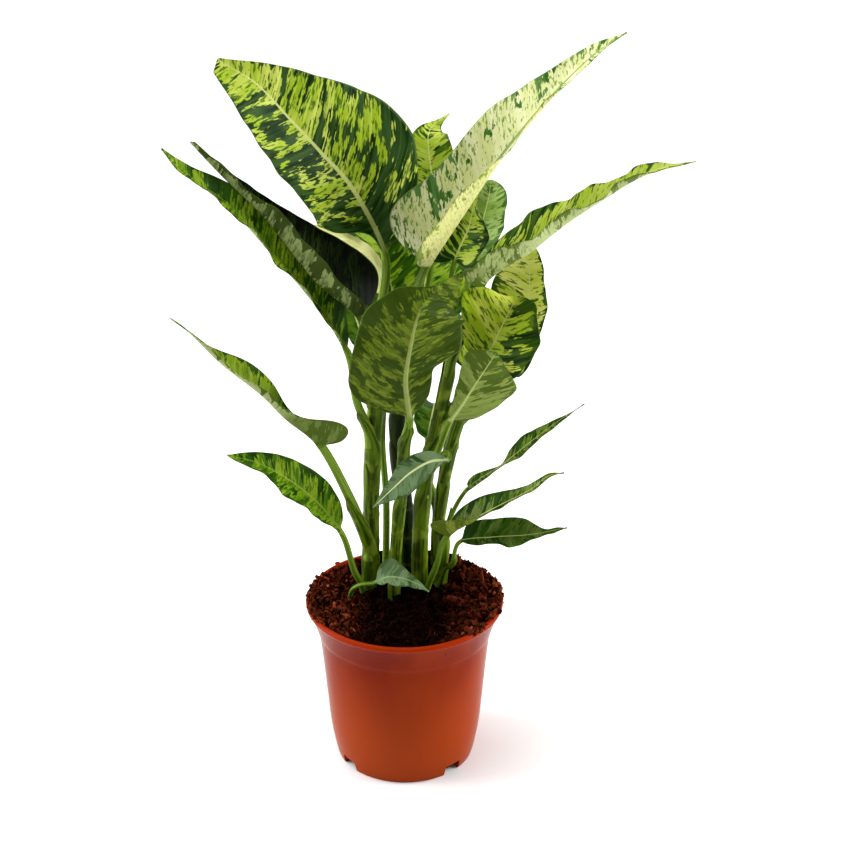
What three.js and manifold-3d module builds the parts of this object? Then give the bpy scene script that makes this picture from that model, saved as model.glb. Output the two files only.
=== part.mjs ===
// A potted dieffenbachia: leafy canes standing in a soil-filled nursery pot.
// Millimetres, +Z up. The origin is the centre of the pot's underside and -Y is the front.
import * as THREE from "three";
import { mergeVertices } from "three/addons/utils/BufferGeometryUtils.js";
import Module from "manifold-3d";

// The pot: outer radius and height of its wall, from the foot to the rolled lip.
const POT_WALL = [
  [59.5, 0],
  [62.2, 11],
  [66.4, 40],
  [68.2, 60],
  [73, 113],
  [75.9, 126],
  [79.2, 136],
  [83, 145],
  [85, 148.4],
  [84.3, 151],
];
// How many of these points lie below the lip.
const WALL_POINTS = 8;
const POT_SIDES = 42;
const WALL_THICKNESS = 1.6;
const LIP_THICKNESS = 2.6;
const FLOOR_TOP = 4.5;
const FLOOR_UNDERSIDE = 2.5;
const FOOT_RING_WIDTH = 5;
const CENTRE_PAD_RADIUS = 15;
const DRAIN_ANGLES = [-143, -53, 43, 134];
const DRAIN_HALF_WIDTH = 8.5;
const DRAIN_HEIGHT = 9.8;
const DRAIN_DEPTH = 12;
const DRAIN_PROUD = 3;

// The soil: its level at the front, its mound at the back and how rough its top is.
const SOIL_SIDES = 32;
const SOIL_LEVEL = 143.5;
const SOIL_MOUND = 6.5;
const SOIL_ROUGHNESS = 1.3;
const SOIL_RINGS = [72, 60, 47, 33, 18];
const CLEARANCE = 0.3;

// Canes: points on the axis, then the radius at the foot and at the top.
const CANE_SIDES = 10;
const CANES = {
  cane_left: {
    axis: [[-30, 30, 110], [-29, 28, 200], [-27, 25, 270], [-22, 24, 342], [-19, 24, 392]],
    radius: [8, 5],
  },
  cane_front: {
    axis: [[-10, 14, 110], [-8, 10, 180], [-4, 2, 237], [0, -8, 290]],
    radius: [5.8, 4.4],
  },
  cane_right: {
    axis: [[12, 34, 110], [14, 31, 207], [20, 27, 264], [28, 25, 305], [37, 25, 350]],
    radius: [7.6, 5],
  },
  cane_back_right: {
    axis: [[26, 52, 110], [30, 51, 200], [38, 50, 261], [50, 53, 305], [60, 57, 345]],
    radius: [5.6, 4.5],
  },
  cane_back: {
    axis: [[4, 55, 110], [2, 57, 180], [-5, 58, 260], [-4, 58, 330], [6, 54, 390]],
    radius: [8.5, 6.5],
  },
  cane_small: {
    axis: [[30, 25, 110], [31, 22, 160], [34, 15, 195]],
    radius: [6.2, 4.6],
  },
};

// Leaves. "cane" and "height" say where the stalk leaves a cane, "foot" where it stands in the soil.
// "stalk" and "rib" are points on the way to the blade and on the midrib, from base to tip.
// "face" is where the upper side looks, at even steps from base to tip.
// "left" and "right" are each half's widths at even steps, seen from above with the tip ahead.
// Pairs hold the left and the right half: "rise" is the angle of each half above the rib's plane
// and "cup" how much further it turns by the margin. Without widths of its own, a leaf has "half"
// for its greatest half-widths and "shape" for the two powers of its outline.
const PLAIN_LEAF = {
  stalk: [],
  rise: [[15, 15]],
  cup: [[12, 12]],
  shape: [[0.5, 0.95], [0.5, 0.95]],
  lobe: 0.25,
  wave: [2, 3],
  stem: [3.4, 2.2],
};
const LEAVES = {
  leaf_top_left_broad: {
    cane: "cane_left",
    rib: [
      [-15, 39, 450], [-39, 27, 509], [-65, 15, 546],
      [-86, 5, 574], [-111, -8, 607], [-139, -15, 627],
    ],
    face: [[0.35, -0.9, 0.45], [0.25, -0.9, 0.5], [0.1, -0.8, 0.65]],
    left: [0, 12, 43, 58, 50, 45, 41, 29, 11],
    right: [0, 44, 62, 66, 58, 45, 31, 14, 2],
    rise: [[14, 12], [22, 8], [10, 20]],
    cup: [[25, -10], [15, -5], [10, 10]],
    lobe: 0,
    wave: [2.5, 3],
    stem: [4.6, 3],
  },
  leaf_left_long_lower: {
    cane: "cane_left",
    height: 285,
    stalk: [[-39, 9, 334]],
    rib: [
      [-45, -1, 381], [-68, -13, 428], [-102, -25, 477],
      [-133, -37, 520], [-160, -49, 547], [-179, -59, 572],
    ],
    face: [[0.6, -0.3, 0.75]],
    left: [0, 7, 8, 8, 8, 8, 10, 0],
    right: [0, 21, 25, 24, 21, 15, 9, 0],
    rise: [[20, 25]],
    cup: [[15, 15]],
    wave: [2.5, 4],
    stem: [4.2, 2.8],
  },
  leaf_left_long_upper: {
    cane: "cane_left",
    height: 322,
    stalk: [[-29, 21, 365]],
    rib: [[-35, -7, 415], [-68, -17, 451], [-105, -25, 505], [-138, -35, 544], [-159, -43, 572]],
    face: [[0.7, -0.1, 0.7], [0.75, 0, 0.65], [0.8, 0.1, 0.6]],
    left: [0, 18, 20, 20, 18, 14, 10, 10, 6],
    right: [0, 44, 46, 34, 21, 14, 9, 6, 1],
    rise: [[62, 20], [62, 35], [60, 40]],
    cup: [[10, 20]],
    lobe: 0.7,
    wave: [2.5, 4],
    stem: [4, 2.6],
  },
  leaf_left_inner: {
    cane: "cane_left",
    height: 352,
    stalk: [[-16, 53, 385]],
    rib: [[-17, 69, 401], [-25, 83, 427], [-45, 87, 445], [-75, 87, 459]],
    face: [[0.5, -0.5, 0.6], [0.3, -0.6, 0.7], [0.1, -0.5, 0.85]],
    half: [24, 6],
    rise: [[15, 20]],
    cup: [[20, 20]],
    shape: [[0.5, 1], [0.5, 1]],
  },
  leaf_top_right_long: {
    cane: "cane_back",
    rib: [[19, 12, 451], [45, 7, 495], [75, 3, 543], [109, -5, 590], [142, -16, 629], [168, -25, 651]],
    face: [[-0.5, -0.7, 0.55], [-0.5, -0.65, 0.6], [-0.4, -0.6, 0.7]],
    left: [0, 52, 44, 37, 35, 25, 15, 9, 0],
    right: [0, 34, 34, 24, 12, 8, 7, 5, 0],
    rise: [[0, 78], [0, 60], [10, 50]],
    cup: [[15, 20], [15, 10], [10, 20]],
    lobe: 0.5,
    wave: [2.5, 3],
    stem: [4.6, 3],
  },
  leaf_top_back: {
    cane: "cane_back",
    height: 365,
    stalk: [[18, 75, 396]],
    rib: [[25, 85, 455], [23, 87, 502], [20, 95, 529], [24, 109, 537], [38, 121, 544]],
    face: [[0, -0.95, 0.3], [0, -0.95, 0.3], [0, -0.7, 0.7]],
    left: [0, 18, 24, 26, 24, 12, 3, 0],
    right: [0, 16, 20, 20, 20, 16, 6, 0],
    rise: [[5, 5], [5, 5], [10, 10]],
    cup: [[10, 10]],
    wave: [1, 3],
  },
  leaf_right_long: {
    cane: "cane_right",
    rib: [
      [63, 39, 422], [83, 33, 444], [102, 27, 459], [128, 17, 485],
      [155, 7, 508], [191, -2, 534], [228, -5, 544],
    ],
    face: [[-0.3, -0.35, 0.9], [-0.3, -0.3, 0.9], [-0.3, -0.2, 0.9]],
    left: [0, 30, 38, 34, 24, 18, 13, 7, 0],
    right: [0, 34, 32, 25, 18, 14, 12, 9, 0],
    rise: [[0, 62], [0, 48], [0, 35]],
    cup: [[8, 10], [8, 10], [8, 20]],
    lobe: 0.5,
    wave: [3, 4],
    stem: [4.6, 3],
  },
  leaf_right_back_small: {
    cane: "cane_back_right",
    stalk: [[53, 83, 384]],
    rib: [[56, 95, 422], [65, 103, 452], [71, 109, 474], [73, 117, 488]],
    face: [[-0.3, -0.8, 0.5], [-0.3, -0.8, 0.5], [0, -0.6, 0.8]],
    half: [20, 24],
    rise: [[20, 20]],
    cup: [[10, 10]],
    shape: [[0.5, 0.6], [0.5, 0.6]],
    wave: [1, 3],
  },
  leaf_right_inner: {
    cane: "cane_back",
    height: 300,
    stalk: [[30, 47, 380]],
    rib: [[42, 59, 436], [53, 61, 464], [57, 55, 485], [60, 45, 498]],
    face: [[-0.3, -0.85, 0.4], [-0.3, -0.85, 0.4], [-0.3, -0.7, 0.6]],
    half: [27, 24],
    rise: [[15, 20], [15, 20], [20, 20]],
    cup: [[10, 10]],
    shape: [[0.5, 0.7], [0.5, 0.7]],
    lobe: 0.9,
    wave: [1, 3],
  },
  leaf_right_back: {
    cane: "cane_back_right",
    height: 268,
    stalk: [[67, 67, 305]],
    rib: [[89, 77, 323], [102, 85, 366], [106, 87, 409], [100, 75, 457]],
    face: [[-0.35, -0.85, 0.4], [-0.3, -0.85, 0.5], [-0.2, -0.6, 0.8]],
    half: [34, 20],
    rise: [[15, 20], [15, 20], [20, 20]],
    cup: [[10, 10]],
    shape: [[0.5, 0.7], [0.5, 0.7]],
    wave: [1.5, 3],
  },
  leaf_front_broad: {
    cane: "cane_front",
    rib: [
      [5, -27, 334], [2, -35, 372], [7, -39, 408], [12, -37, 429],
      [18, -33, 440], [29, -29, 450], [48, -21, 459],
    ],
    face: [[-0.1, 0.9, 0.35]],
    left: [0, 14, 20, 24, 38, 43, 42, 44, 47, 42, 0],
    right: [0, 22, 44, 45, 44, 43, 40, 26, 6, 2, 0],
    rise: [[-5, -5], [5, 5], [10, 10]],
    cup: [[10, 10]],
    lobe: 0.1,
    wave: [3, 4],
    stem: [4.6, 3.2],
  },
  leaf_front_right: {
    cane: "cane_right",
    height: 285,
    stalk: [[50, 21, 336]],
    rib: [[68, 17, 368], [78, 17, 391], [88, 25, 409], [95, 41, 413]],
    face: [[-0.3, -0.75, 0.55], [-0.3, -0.75, 0.55], [-0.2, -0.5, 0.8]],
    left: [0, 20, 29, 37, 41, 33, 15, 0],
    right: [0, 28, 38, 40, 34, 26, 13, 0],
    rise: [[15, 8], [15, 8], [20, 20]],
    cup: [[15, 10], [15, 10], [10, 10]],
    lobe: 0.65,
  },
  leaf_front_right_small: {
    cane: "cane_right",
    height: 235,
    stalk: [[29, 5, 290]],
    rib: [[38, -11, 324], [48, -15, 342], [57, -18, 359], [67, -21, 377], [75, -23, 391]],
    face: [[-0.1, 0.9, 0.35]],
    left: [0, 12, 20, 30, 38, 40, 37, 29, 20, 11, 0],
    right: [0, 4, 7, 9, 12, 14, 17, 19, 21, 17, 0],
    rise: [[5, 5], [5, 5], [10, 10]],
    cup: [[10, 10]],
    lobe: 0.6,
    wave: [1.5, 3],
  },
  leaf_low_left_long: {
    cane: "cane_left",
    height: 175,
    stalk: [[-45, -21, 259]],
    rib: [
      [-67, -31, 312], [-93, -39, 341], [-112, -45, 365],
      [-141, -53, 394], [-162, -61, 421], [-179, -65, 438],
    ],
    face: [[0.4, -0.3, 0.85], [0.4, -0.2, 0.85], [0.3, 0.3, 0.8]],
    left: [0, 34, 20, 11, 9, 8, 7, 6, 5, 4, 0],
    right: [0, 5, 6, 8, 13, 15, 13, 8, 5, 3, 0],
    rise: [[75, 60], [60, 45], [40, 25]],
    cup: [[20, 10], [10, 10], [10, 10]],
    lobe: 0.5,
    wave: [1.5, 3],
    stem: [5, 3.2],
  },
  leaf_low_left: {
    foot: [-36, 14],
    stalk: [[-43, -7, 182]],
    rib: [[-53, -15, 223], [-79, -25, 264], [-113, -37, 296], [-142, -47, 311]],
    face: [[0.3, -0.5, 0.8], [0.2, -0.5, 0.85], [0.1, -0.3, 0.95]],
    left: [0, 10, 17, 23, 25, 24, 20, 12, 0],
    right: [0, 14, 19, 20, 19, 16, 12, 7, 0],
    rise: [[20, 15], [20, 12], [20, 12]],
    cup: [[20, 10], [10, 10], [10, 10]],
    wave: [1.5, 3],
  },
  leaf_low_front: {
    cane: "cane_front",
    height: 240,
    stalk: [[12, -12, 268], [33, -13, 296]],
    rib: [[37, -27, 297], [22, -35, 299], [6, -39, 291], [-8, -41, 278], [-25, -41, 260]],
    face: [[0, -0.7, 0.7]],
    left: [0, 5, 10, 14, 15, 13, 9, 4, 0],
    right: [0, 6, 10, 12, 11, 8, 6, 3, 0],
    rise: [[10, 10]],
    cup: [[10, 10]],
    wave: [1, 3],
    stem: [2.4, 1.7],
  },
  leaf_at_soil_front: {
    foot: [-47, 4],
    stalk: [[-39, -13, 170]],
    rib: [[-26, -19, 176], [-14, -23, 184], [-1, -27, 185], [12, -32, 182], [21, -37, 178]],
    face: [[0, -0.5, 0.85], [0, -0.5, 0.85], [0.2, -0.6, 0.7]],
    left: [0, 8, 17, 12, 7, 4, 2, 0],
    right: [0, 5, 8, 10, 9, 6, 3, 0],
    rise: [[10, 10]],
    cup: [[10, 10]],
    wave: [1, 3],
    stem: [2.2, 1.6],
  },
  leaf_low_right_upper: {
    cane: "cane_small",
    rib: [[52, -1, 255], [82, -12, 285], [103, -21, 309], [125, -27, 331], [146, -33, 350]],
    face: [[-0.3, -0.1, 0.95], [-0.3, -0.2, 0.9], [-0.3, -0.2, 0.9]],
    left: [0, 8, 6, 2, 8, 12, 10, 6, 3, 1, 0],
    right: [0, 8, 6, 3, 7, 11, 10, 7, 3, 1, 0],
    rise: [[15, 5]],
    cup: [[10, 10]],
    lobe: 1,
    wave: [1, 3],
    stem: [2.6, 1.7],
  },
  leaf_low_right_middle: {
    foot: [19, 12],
    stalk: [[27, 1, 181]],
    rib: [
      [36, -15, 219], [62, -27, 244], [83, -35, 261],
      [103, -43, 277], [117, -48, 292], [130, -51, 297],
    ],
    face: [[-0.1, -0.35, 0.95]],
    left: [0, 10, 17, 18, 15, 12, 9, 6, 4, 3, 0],
    right: [0, 22, 16, 6, 4, 4, 4, 4, 3, 2, 0],
    rise: [[12, 95], [12, 40], [12, 12]],
    cup: [[10, 10]],
    lobe: 0.5,
    wave: [1, 3],
    stem: [3.4, 2.3],
  },
  leaf_low_right_lower: {
    cane: "cane_small",
    height: 150,
    stalk: [[41, 12, 178]],
    rib: [[47, -5, 208], [74, -17, 219], [105, -29, 228], [135, -39, 240]],
    face: [[0, -0.45, 0.9], [0, -0.45, 0.9], [0, -0.3, 0.95]],
    left: [0, 13, 17, 17, 17, 17, 15, 9, 3, 3, 0],
    right: [0, 5, 9, 10, 10, 14, 14, 8, 3, 3, 0],
    rise: [[12, 12]],
    cup: [[10, 10]],
    wave: [1, 3],
    stem: [2.6, 1.7],
  },
  leaf_back_left: {
    cane: "cane_back",
    height: 328,
    stalk: [[-5, 87, 363]],
    rib: [[-10, 109, 386], [-28, 137, 449], [-56, 165, 498], [-91, 195, 527]],
    face: [[0.2, -0.6, 0.8], [0.2, -0.5, 0.85], [0.1, -0.3, 0.95]],
    half: [42, 42],
  },
  leaf_back_middle: {
    cane: "cane_back",
    height: 272,
    stalk: [[6, 95, 341]],
    rib: [[13, 124, 355], [20, 172, 392], [23, 225, 409], [24, 275, 401]],
    face: [[0, -0.6, 0.8], [0, -0.3, 0.95], [0, 0.1, 1]],
    half: [40, 52],
  },
  leaf_back_right: {
    cane: "cane_back_right",
    height: 232,
    stalk: [[41, 85, 279]],
    rib: [[55, 109, 314], [80, 147, 333], [99, 190, 332], [113, 230, 311]],
    face: [[-0.2, -0.5, 0.85], [-0.2, -0.4, 0.9], [-0.1, -0.2, 1]],
    half: [28, 30],
  },
  leaf_back_low_left: {
    foot: [-17, 45],
    stalk: [[-16, 46, 220], [-19, 53, 272]],
    rib: [[-17, 82, 298], [-10, 118, 306], [-4, 150, 302], [0, 182, 288]],
    face: [[0.2, -0.5, 0.85], [0.2, -0.4, 0.9], [0.1, -0.2, 1]],
    half: [18, 18],
  },
  leaf_back_low_right: {
    cane: "cane_back_right",
    height: 192,
    stalk: [[19, 81, 232]],
    rib: [[20, 105, 250], [24, 145, 256], [26, 180, 250], [26, 215, 234]],
    face: [[-0.1, -0.5, 0.85], [0, -0.4, 0.9], [0, -0.2, 1]],
    half: [16, 18],
  },
  leaf_back_side: {
    cane: "cane_left",
    height: 270,
    stalk: [[-29, 55, 312]],
    rib: [[-34, 84, 345], [-45, 118, 370], [-53, 152, 372], [-57, 186, 358]],
    face: [[0.3, -0.5, 0.85], [0.2, -0.4, 0.9], [0.1, -0.2, 1]],
    half: [20, 26],
  },
};
const BLADE_THICKNESS = 1;
const LOBE_DEPTH = 1.6;
const SWEEP = 0.42;

// Where a blade has its points: across it from the left margin to the right, and along its midrib.
// Blades at least as wide as WIDE_BLADE get the finer grid.
const WIDE_BLADE = 66;
const LEAST_WIDTH = 0.8;
const WIDE_COLUMNS = [-1, -0.66, -0.3, 0, 0.3, 0.66, 1];
const WIDE_STATIONS = [0.035, 0.09, 0.17, 0.27, 0.38, 0.5, 0.62, 0.73, 0.83, 0.91, 0.965];
const NARROW_COLUMNS = [-1, -0.5, 0, 0.5, 1];
const NARROW_STATIONS = [0.04, 0.11, 0.21, 0.34, 0.48, 0.62, 0.75, 0.87, 0.95];

// Where stalks start: down in the soil, in a socket beside a cane's axis, or on a cane's top.
const STALK_ROOT_DEPTH = 32;
const STALK_SOIL_TOP = 150;
const SOCKET_FROM_AXIS = 4.5;
const TOP_STALK_LENGTH = 18;
const OUTER_CLEARANCE = 1;
const OUTER_RISE = 20;
const STALK_STEPS = 60;
const STEPS_PER_RING = 12;
const RIB_SAMPLES = 400;
const HEIGHT_HALVINGS = 40;

const degrees = THREE.MathUtils.degToRad;
const wasm = await Module();
wasm.setup();

// A closed geometry as a solid that can be joined or cut.
function solidFrom(geometry) {
  const bare = geometry.clone();
  bare.deleteAttribute("normal");
  bare.deleteAttribute("uv");
  const merged = mergeVertices(bare, 1e-4);
  return new wasm.Manifold(
    new wasm.Mesh({
      numProp: 3,
      vertProperties: new Float32Array(merged.attributes.position.array),
      triVerts: new Uint32Array(merged.index.array),
    }),
  );
}

// The triangles of a solid, as a geometry again.
function geometryFrom(solid) {
  const mesh = solid.getMesh();
  const geometry = new THREE.BufferGeometry();
  geometry.setAttribute("position", new THREE.BufferAttribute(new Float32Array(mesh.vertProperties), 3));
  geometry.setIndex(new THREE.BufferAttribute(new Uint32Array(mesh.triVerts), 1));
  geometry.computeVertexNormals();
  return geometry;
}

// A closed skin over rings of points, shut by a point at each end. slant(side) says which way
// the four-sided patches of that side are split.
function loft(rings, firstPoint, lastPoint, slant = () => true) {
  const count = rings[0].length;
  const points = [...rings.flat(), firstPoint, lastPoint];
  const first = points.length - 2;
  const last = points.length - 1;
  const lastRing = (rings.length - 1) * count;
  const faces = [];
  for (let row = 0; row < rings.length - 1; row += 1) {
    for (let side = 0; side < count; side += 1) {
      const next = (side + 1) % count;
      const a = row * count + side;
      const b = row * count + next;
      const c = a + count;
      const d = b + count;
      if (slant(side)) faces.push(a, b, d, a, d, c);
      else faces.push(a, b, c, b, d, c);
    }
  }
  for (let side = 0; side < count; side += 1) {
    const next = (side + 1) % count;
    faces.push(first, next, side, last, lastRing + side, lastRing + next);
  }
  const geometry = new THREE.BufferGeometry();
  geometry.setAttribute(
    "position",
    new THREE.Float32BufferAttribute(points.flatMap((point) => point.toArray()), 3),
  );
  geometry.setIndex(faces);
  geometry.computeVertexNormals();
  return geometry;
}

// A smooth curve through points given as [x, y, z].
function curveThrough(points) {
  const places = points.map((point) => new THREE.Vector3(...point));
  return new THREE.CatmullRomCurve3(places, false, "catmullrom");
}

// The value at u, from 0 at the base to 1 at the tip, of numbers given at even steps.
function along(values, u) {
  const place = u * (values.length - 1);
  const step = Math.min(Math.floor(place), Math.max(values.length - 2, 0));
  const blend = THREE.MathUtils.smoothstep(place - step, 0, 1);
  const next = Math.min(step + 1, values.length - 1);
  return values[step].map((value, i) => value + (values[next][i] - value) * blend);
}

// Position and directions on a curve: ahead, up (as near to face as can be) and right.
function frameOn(curve, t, face) {
  const origin = curve.getPoint(t);
  const before = curve.getPoint(Math.max(t - 1e-4, 0));
  const ahead = curve.getPoint(Math.min(t + 1e-4, 1)).sub(before).normalize();
  const up = new THREE.Vector3(...face);
  up.addScaledVector(ahead, -up.dot(ahead)).normalize();
  const right = new THREE.Vector3().crossVectors(ahead, up);
  return { origin, ahead, up, right };
}

// The point at so much right, up and ahead of a frame's origin.
function placed(frame, right, up, ahead) {
  return frame.origin
    .clone()
    .addScaledVector(frame.right, right)
    .addScaledVector(frame.up, up)
    .addScaledVector(frame.ahead, ahead);
}

// The axis of a cane, and where on it a height lies.
function caneAxis(name) {
  return curveThrough(CANES[name].axis);
}

function pointAtHeight(curve, height) {
  let low = 0;
  let high = 1;
  for (let i = 0; i < HEIGHT_HALVINGS; i += 1) {
    const middle = (low + high) / 2;
    if (curve.getPoint(middle).z < height) low = middle;
    else high = middle;
  }
  return { point: curve.getPoint(low), share: low };
}

// The stalk's first points: inside its cane, on top of it, or down in the soil.
function stalkStart(leaf) {
  if (leaf.foot) {
    const [x, y] = leaf.foot;
    return [[x, y, STALK_SOIL_TOP - STALK_ROOT_DEPTH], [x, y, STALK_SOIL_TOP]];
  }
  const axis = caneAxis(leaf.cane);
  if (!leaf.height) {
    const top = axis.getPoint(1);
    const ahead = axis.getTangent(1);
    const foot = top.clone().addScaledVector(ahead, CLEARANCE);
    return [foot.toArray(), foot.clone().addScaledVector(ahead, TOP_STALK_LENGTH).toArray()];
  }
  const { point, share } = pointAtHeight(axis, leaf.height);
  const [lower, upper] = CANES[leaf.cane].radius;
  const radius = lower + (upper - lower) * share;
  const outward = new THREE.Vector3(...[...leaf.stalk, ...leaf.rib][0]).sub(point).setZ(0).normalize();
  const inside = point.clone().addScaledVector(outward, SOCKET_FROM_AXIS);
  const outside = point.clone().addScaledVector(outward, radius + OUTER_CLEARANCE);
  return [inside.toArray(), [outside.x, outside.y, outside.z + OUTER_RISE]];
}

// A half's width: on a smooth curve through given widths, or from the two powers of its shape.
function halfWidth(leaf, side, u) {
  const given = [leaf.left, leaf.right][side];
  if (given) {
    const width = curveThrough(given.map((value) => [value, 0, 0])).getPoint(u).x;
    return Math.max(width, LEAST_WIDTH);
  }
  const [a, b] = leaf.shape[side];
  const peak = (a / (a + b)) ** a * (b / (a + b)) ** b;
  return (leaf.half[side] * (u ** a * (1 - u) ** b)) / peak;
}

// A section of the blade: a row of points on the upper side, left to right, then back below.
function bladeSection(leaf, frame, u, columns, grow) {
  const above = [];
  const below = [];
  const half = BLADE_THICKNESS / 2;
  const ribDepth = Math.max(leaf.stem[1] * (1 - u) ** 0.8, half);
  for (const column of columns) {
    const side = column < 0 ? 0 : 1;
    const sign = column < 0 ? -1 : 1;
    const v = Math.abs(column);
    const width = halfWidth(leaf, side, u);
    const rise = degrees(along(leaf.rise, u)[side]);
    const cup = degrees(along(leaf.cup, u)[side]) || 1e-4;
    const angle = rise + cup * v;
    const turns = leaf.wave[1] * u + 0.3 * side;
    const swell = leaf.wave[0] * v * v * Math.sqrt(Math.sin(Math.PI * u));
    const ruffle = swell * Math.sin(2 * Math.PI * turns);
    const out = (width * (Math.sin(angle) - Math.sin(rise))) / cup - ruffle * Math.sin(angle);
    const up = (width * (Math.cos(rise) - Math.cos(angle))) / cup + ruffle * Math.cos(angle);
    const back = LOBE_DEPTH * leaf.lobe * (1 - u) ** 5 * v ** 1.5 * width;
    const sweep = SWEEP * width * v ** 1.6 * u * (1 - u);
    const middle = placed(frame, sign * out, up, sweep - back);
    const normal = frame.up.clone().multiplyScalar(v ? Math.cos(angle) : 1);
    if (v) normal.addScaledVector(frame.right, -sign * Math.sin(angle));
    above.push(middle.clone().addScaledVector(normal, half + grow));
    below.push(middle.clone().addScaledVector(normal, -(v ? half : ribDepth) - grow));
  }
  return [...above, ...below.reverse()];
}

// A round section of the stalk, with its points in the same order as the blade's.
function stalkSection(frame, radius, perSide) {
  const ring = [];
  for (let i = 0; i < 2 * perSide; i += 1) {
    const angle = Math.PI - ((i + 0.5) * Math.PI) / perSide;
    ring.push(placed(frame, radius * Math.cos(angle), radius * Math.sin(angle), 0));
  }
  return ring;
}

// Stalk and blade in one skin, grown by so much all round.
function leafGeometry(leaf, grow = 0) {
  const [left, right] = leaf.half ?? [Math.max(...leaf.left), Math.max(...leaf.right)];
  const wide = left + right >= WIDE_BLADE;
  const columns = wide ? WIDE_COLUMNS : NARROW_COLUMNS;
  const stations = wide ? WIDE_STATIONS : NARROW_STATIONS;
  const stalk = [...stalkStart(leaf), ...leaf.stalk];
  const curve = curveThrough([...stalk, ...leaf.rib]);
  const parts = stalk.length + leaf.rib.length - 1;
  const base = stalk.length / parts;
  const rings = [];

  // The stalk's frames turn as little as can be, from the blade's base back to the foot.
  let face = leaf.face[0];
  for (let i = STALK_STEPS; i >= 0; i -= 1) {
    const share = i / STALK_STEPS;
    const frame = frameOn(curve, base * share, face);
    const radius = leaf.stem[0] + (leaf.stem[1] - leaf.stem[0]) * 0.8 * share;
    if (i % STEPS_PER_RING === 0) rings.unshift(stalkSection(frame, radius + grow, columns.length));
    face = frame.up.toArray();
  }
  const foot = curve.getPoint(0);

  // Even steps along the midrib's length, not along the curve's own parameter.
  const step = (1 - base) / RIB_SAMPLES;
  const lengths = [0];
  for (let i = 1; i <= RIB_SAMPLES; i += 1) {
    const here = curve.getPoint(base + step * i);
    const before = curve.getPoint(base + step * (i - 1));
    lengths.push(lengths[i - 1] + here.distanceTo(before));
  }
  for (const u of stations) {
    const wanted = u * lengths[RIB_SAMPLES];
    const i = lengths.findIndex((length) => length >= wanted);
    const within = (wanted - lengths[i - 1]) / (lengths[i] - lengths[i - 1]);
    const t = base + step * (i - 1 + within);
    rings.push(bladeSection(leaf, frameOn(curve, t, along(leaf.face, u)), u, columns, grow));
  }

  // Patches are split alike above and below, and as mirror images left and right.
  const n = columns.length;
  const slant = (side) => {
    if (side === n - 1 || side === 2 * n - 1) return true;
    return side < n - 1 ? side < (n - 1) / 2 : 2 * n - 2 - side >= (n - 1) / 2;
  };
  return loft(rings, foot, curve.getPoint(1), slant);
}

// A tapering round cane along its axis.
function caneGeometry(name, grow = 0) {
  const { axis, radius } = CANES[name];
  const curve = curveThrough(axis);
  const steps = 2 * (axis.length - 1);
  const rings = [];
  for (let i = 0; i <= steps; i += 1) {
    const share = i / steps;
    const frame = frameOn(curve, share, [0, 1, 0]);
    const size = radius[0] + (radius[1] - radius[0]) * share + grow;
    const ring = [];
    for (let side = 0; side < CANE_SIDES; side += 1) {
      const angle = (-2 * Math.PI * side) / CANE_SIDES;
      ring.push(placed(frame, size * Math.cos(angle), size * Math.sin(angle), 0));
    }
    rings.push(ring);
  }
  return loft(rings, curve.getPoint(0), curve.getPoint(1));
}

// The pot's inner radius at a height between its floor and its lip.
function innerRadius(height) {
  const i = POT_WALL.findIndex(([, z]) => z >= height);
  const [r0, z0] = POT_WALL[i - 1];
  const [r1, z1] = POT_WALL[i];
  return r0 + ((r1 - r0) * (height - z0)) / (z1 - z0) - WALL_THICKNESS;
}

// The pot is turned from one profile, and four notches are cut through its lower corner.
function potGeometry() {
  const ringInside = POT_WALL[0][0] - FOOT_RING_WIDTH;
  const lipInside = POT_WALL.at(-1)[0] - LIP_THICKNESS;
  const inside = POT_WALL.slice(1, WALL_POINTS).map(([r, z]) => [r - WALL_THICKNESS, z]);
  const profile = [
    [0, 0],
    [CENTRE_PAD_RADIUS, 0],
    [CENTRE_PAD_RADIUS + 1, FLOOR_UNDERSIDE],
    [ringInside - 1, FLOOR_UNDERSIDE],
    [ringInside, 0],
    ...POT_WALL,
    [lipInside, POT_WALL.at(-1)[1]],
    ...inside.reverse(),
    [innerRadius(FLOOR_TOP), FLOOR_TOP],
    [0, FLOOR_TOP],
  ];
  const lathe = new THREE.LatheGeometry(profile.map(([r, z]) => new THREE.Vector2(r, z)), POT_SIDES);
  lathe.rotateX(Math.PI / 2);
  let pot = solidFrom(lathe);
  for (const angle of DRAIN_ANGLES) {
    const notch = new THREE.BoxGeometry(2 * DRAIN_HALF_WIDTH, DRAIN_DEPTH, 2 * DRAIN_HEIGHT);
    notch.translate(0, DRAIN_DEPTH / 2 - POT_WALL[1][0] - DRAIN_PROUD, 0);
    notch.rotateZ(degrees(angle));
    pot = pot.subtract(solidFrom(notch));
  }
  return geometryFrom(pot);
}

// The soil's height at a point: level at the front, mounded at the back right, and lumpy.
function soilHeight(x, y) {
  const towardsBack = THREE.MathUtils.smoothstep(y * 0.8 + x * 0.5, -30, 70);
  const lumps =
    Math.sin(x * 0.31 + 1.3) * Math.cos(y * 0.27 - 0.4) +
    0.6 * Math.sin(x * 0.17 - y * 0.22 + 2) +
    0.5 * Math.cos(x * 0.53 + y * 0.44);
  return SOIL_LEVEL + SOIL_MOUND * towardsBack + SOIL_ROUGHNESS * lumps;
}

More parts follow.
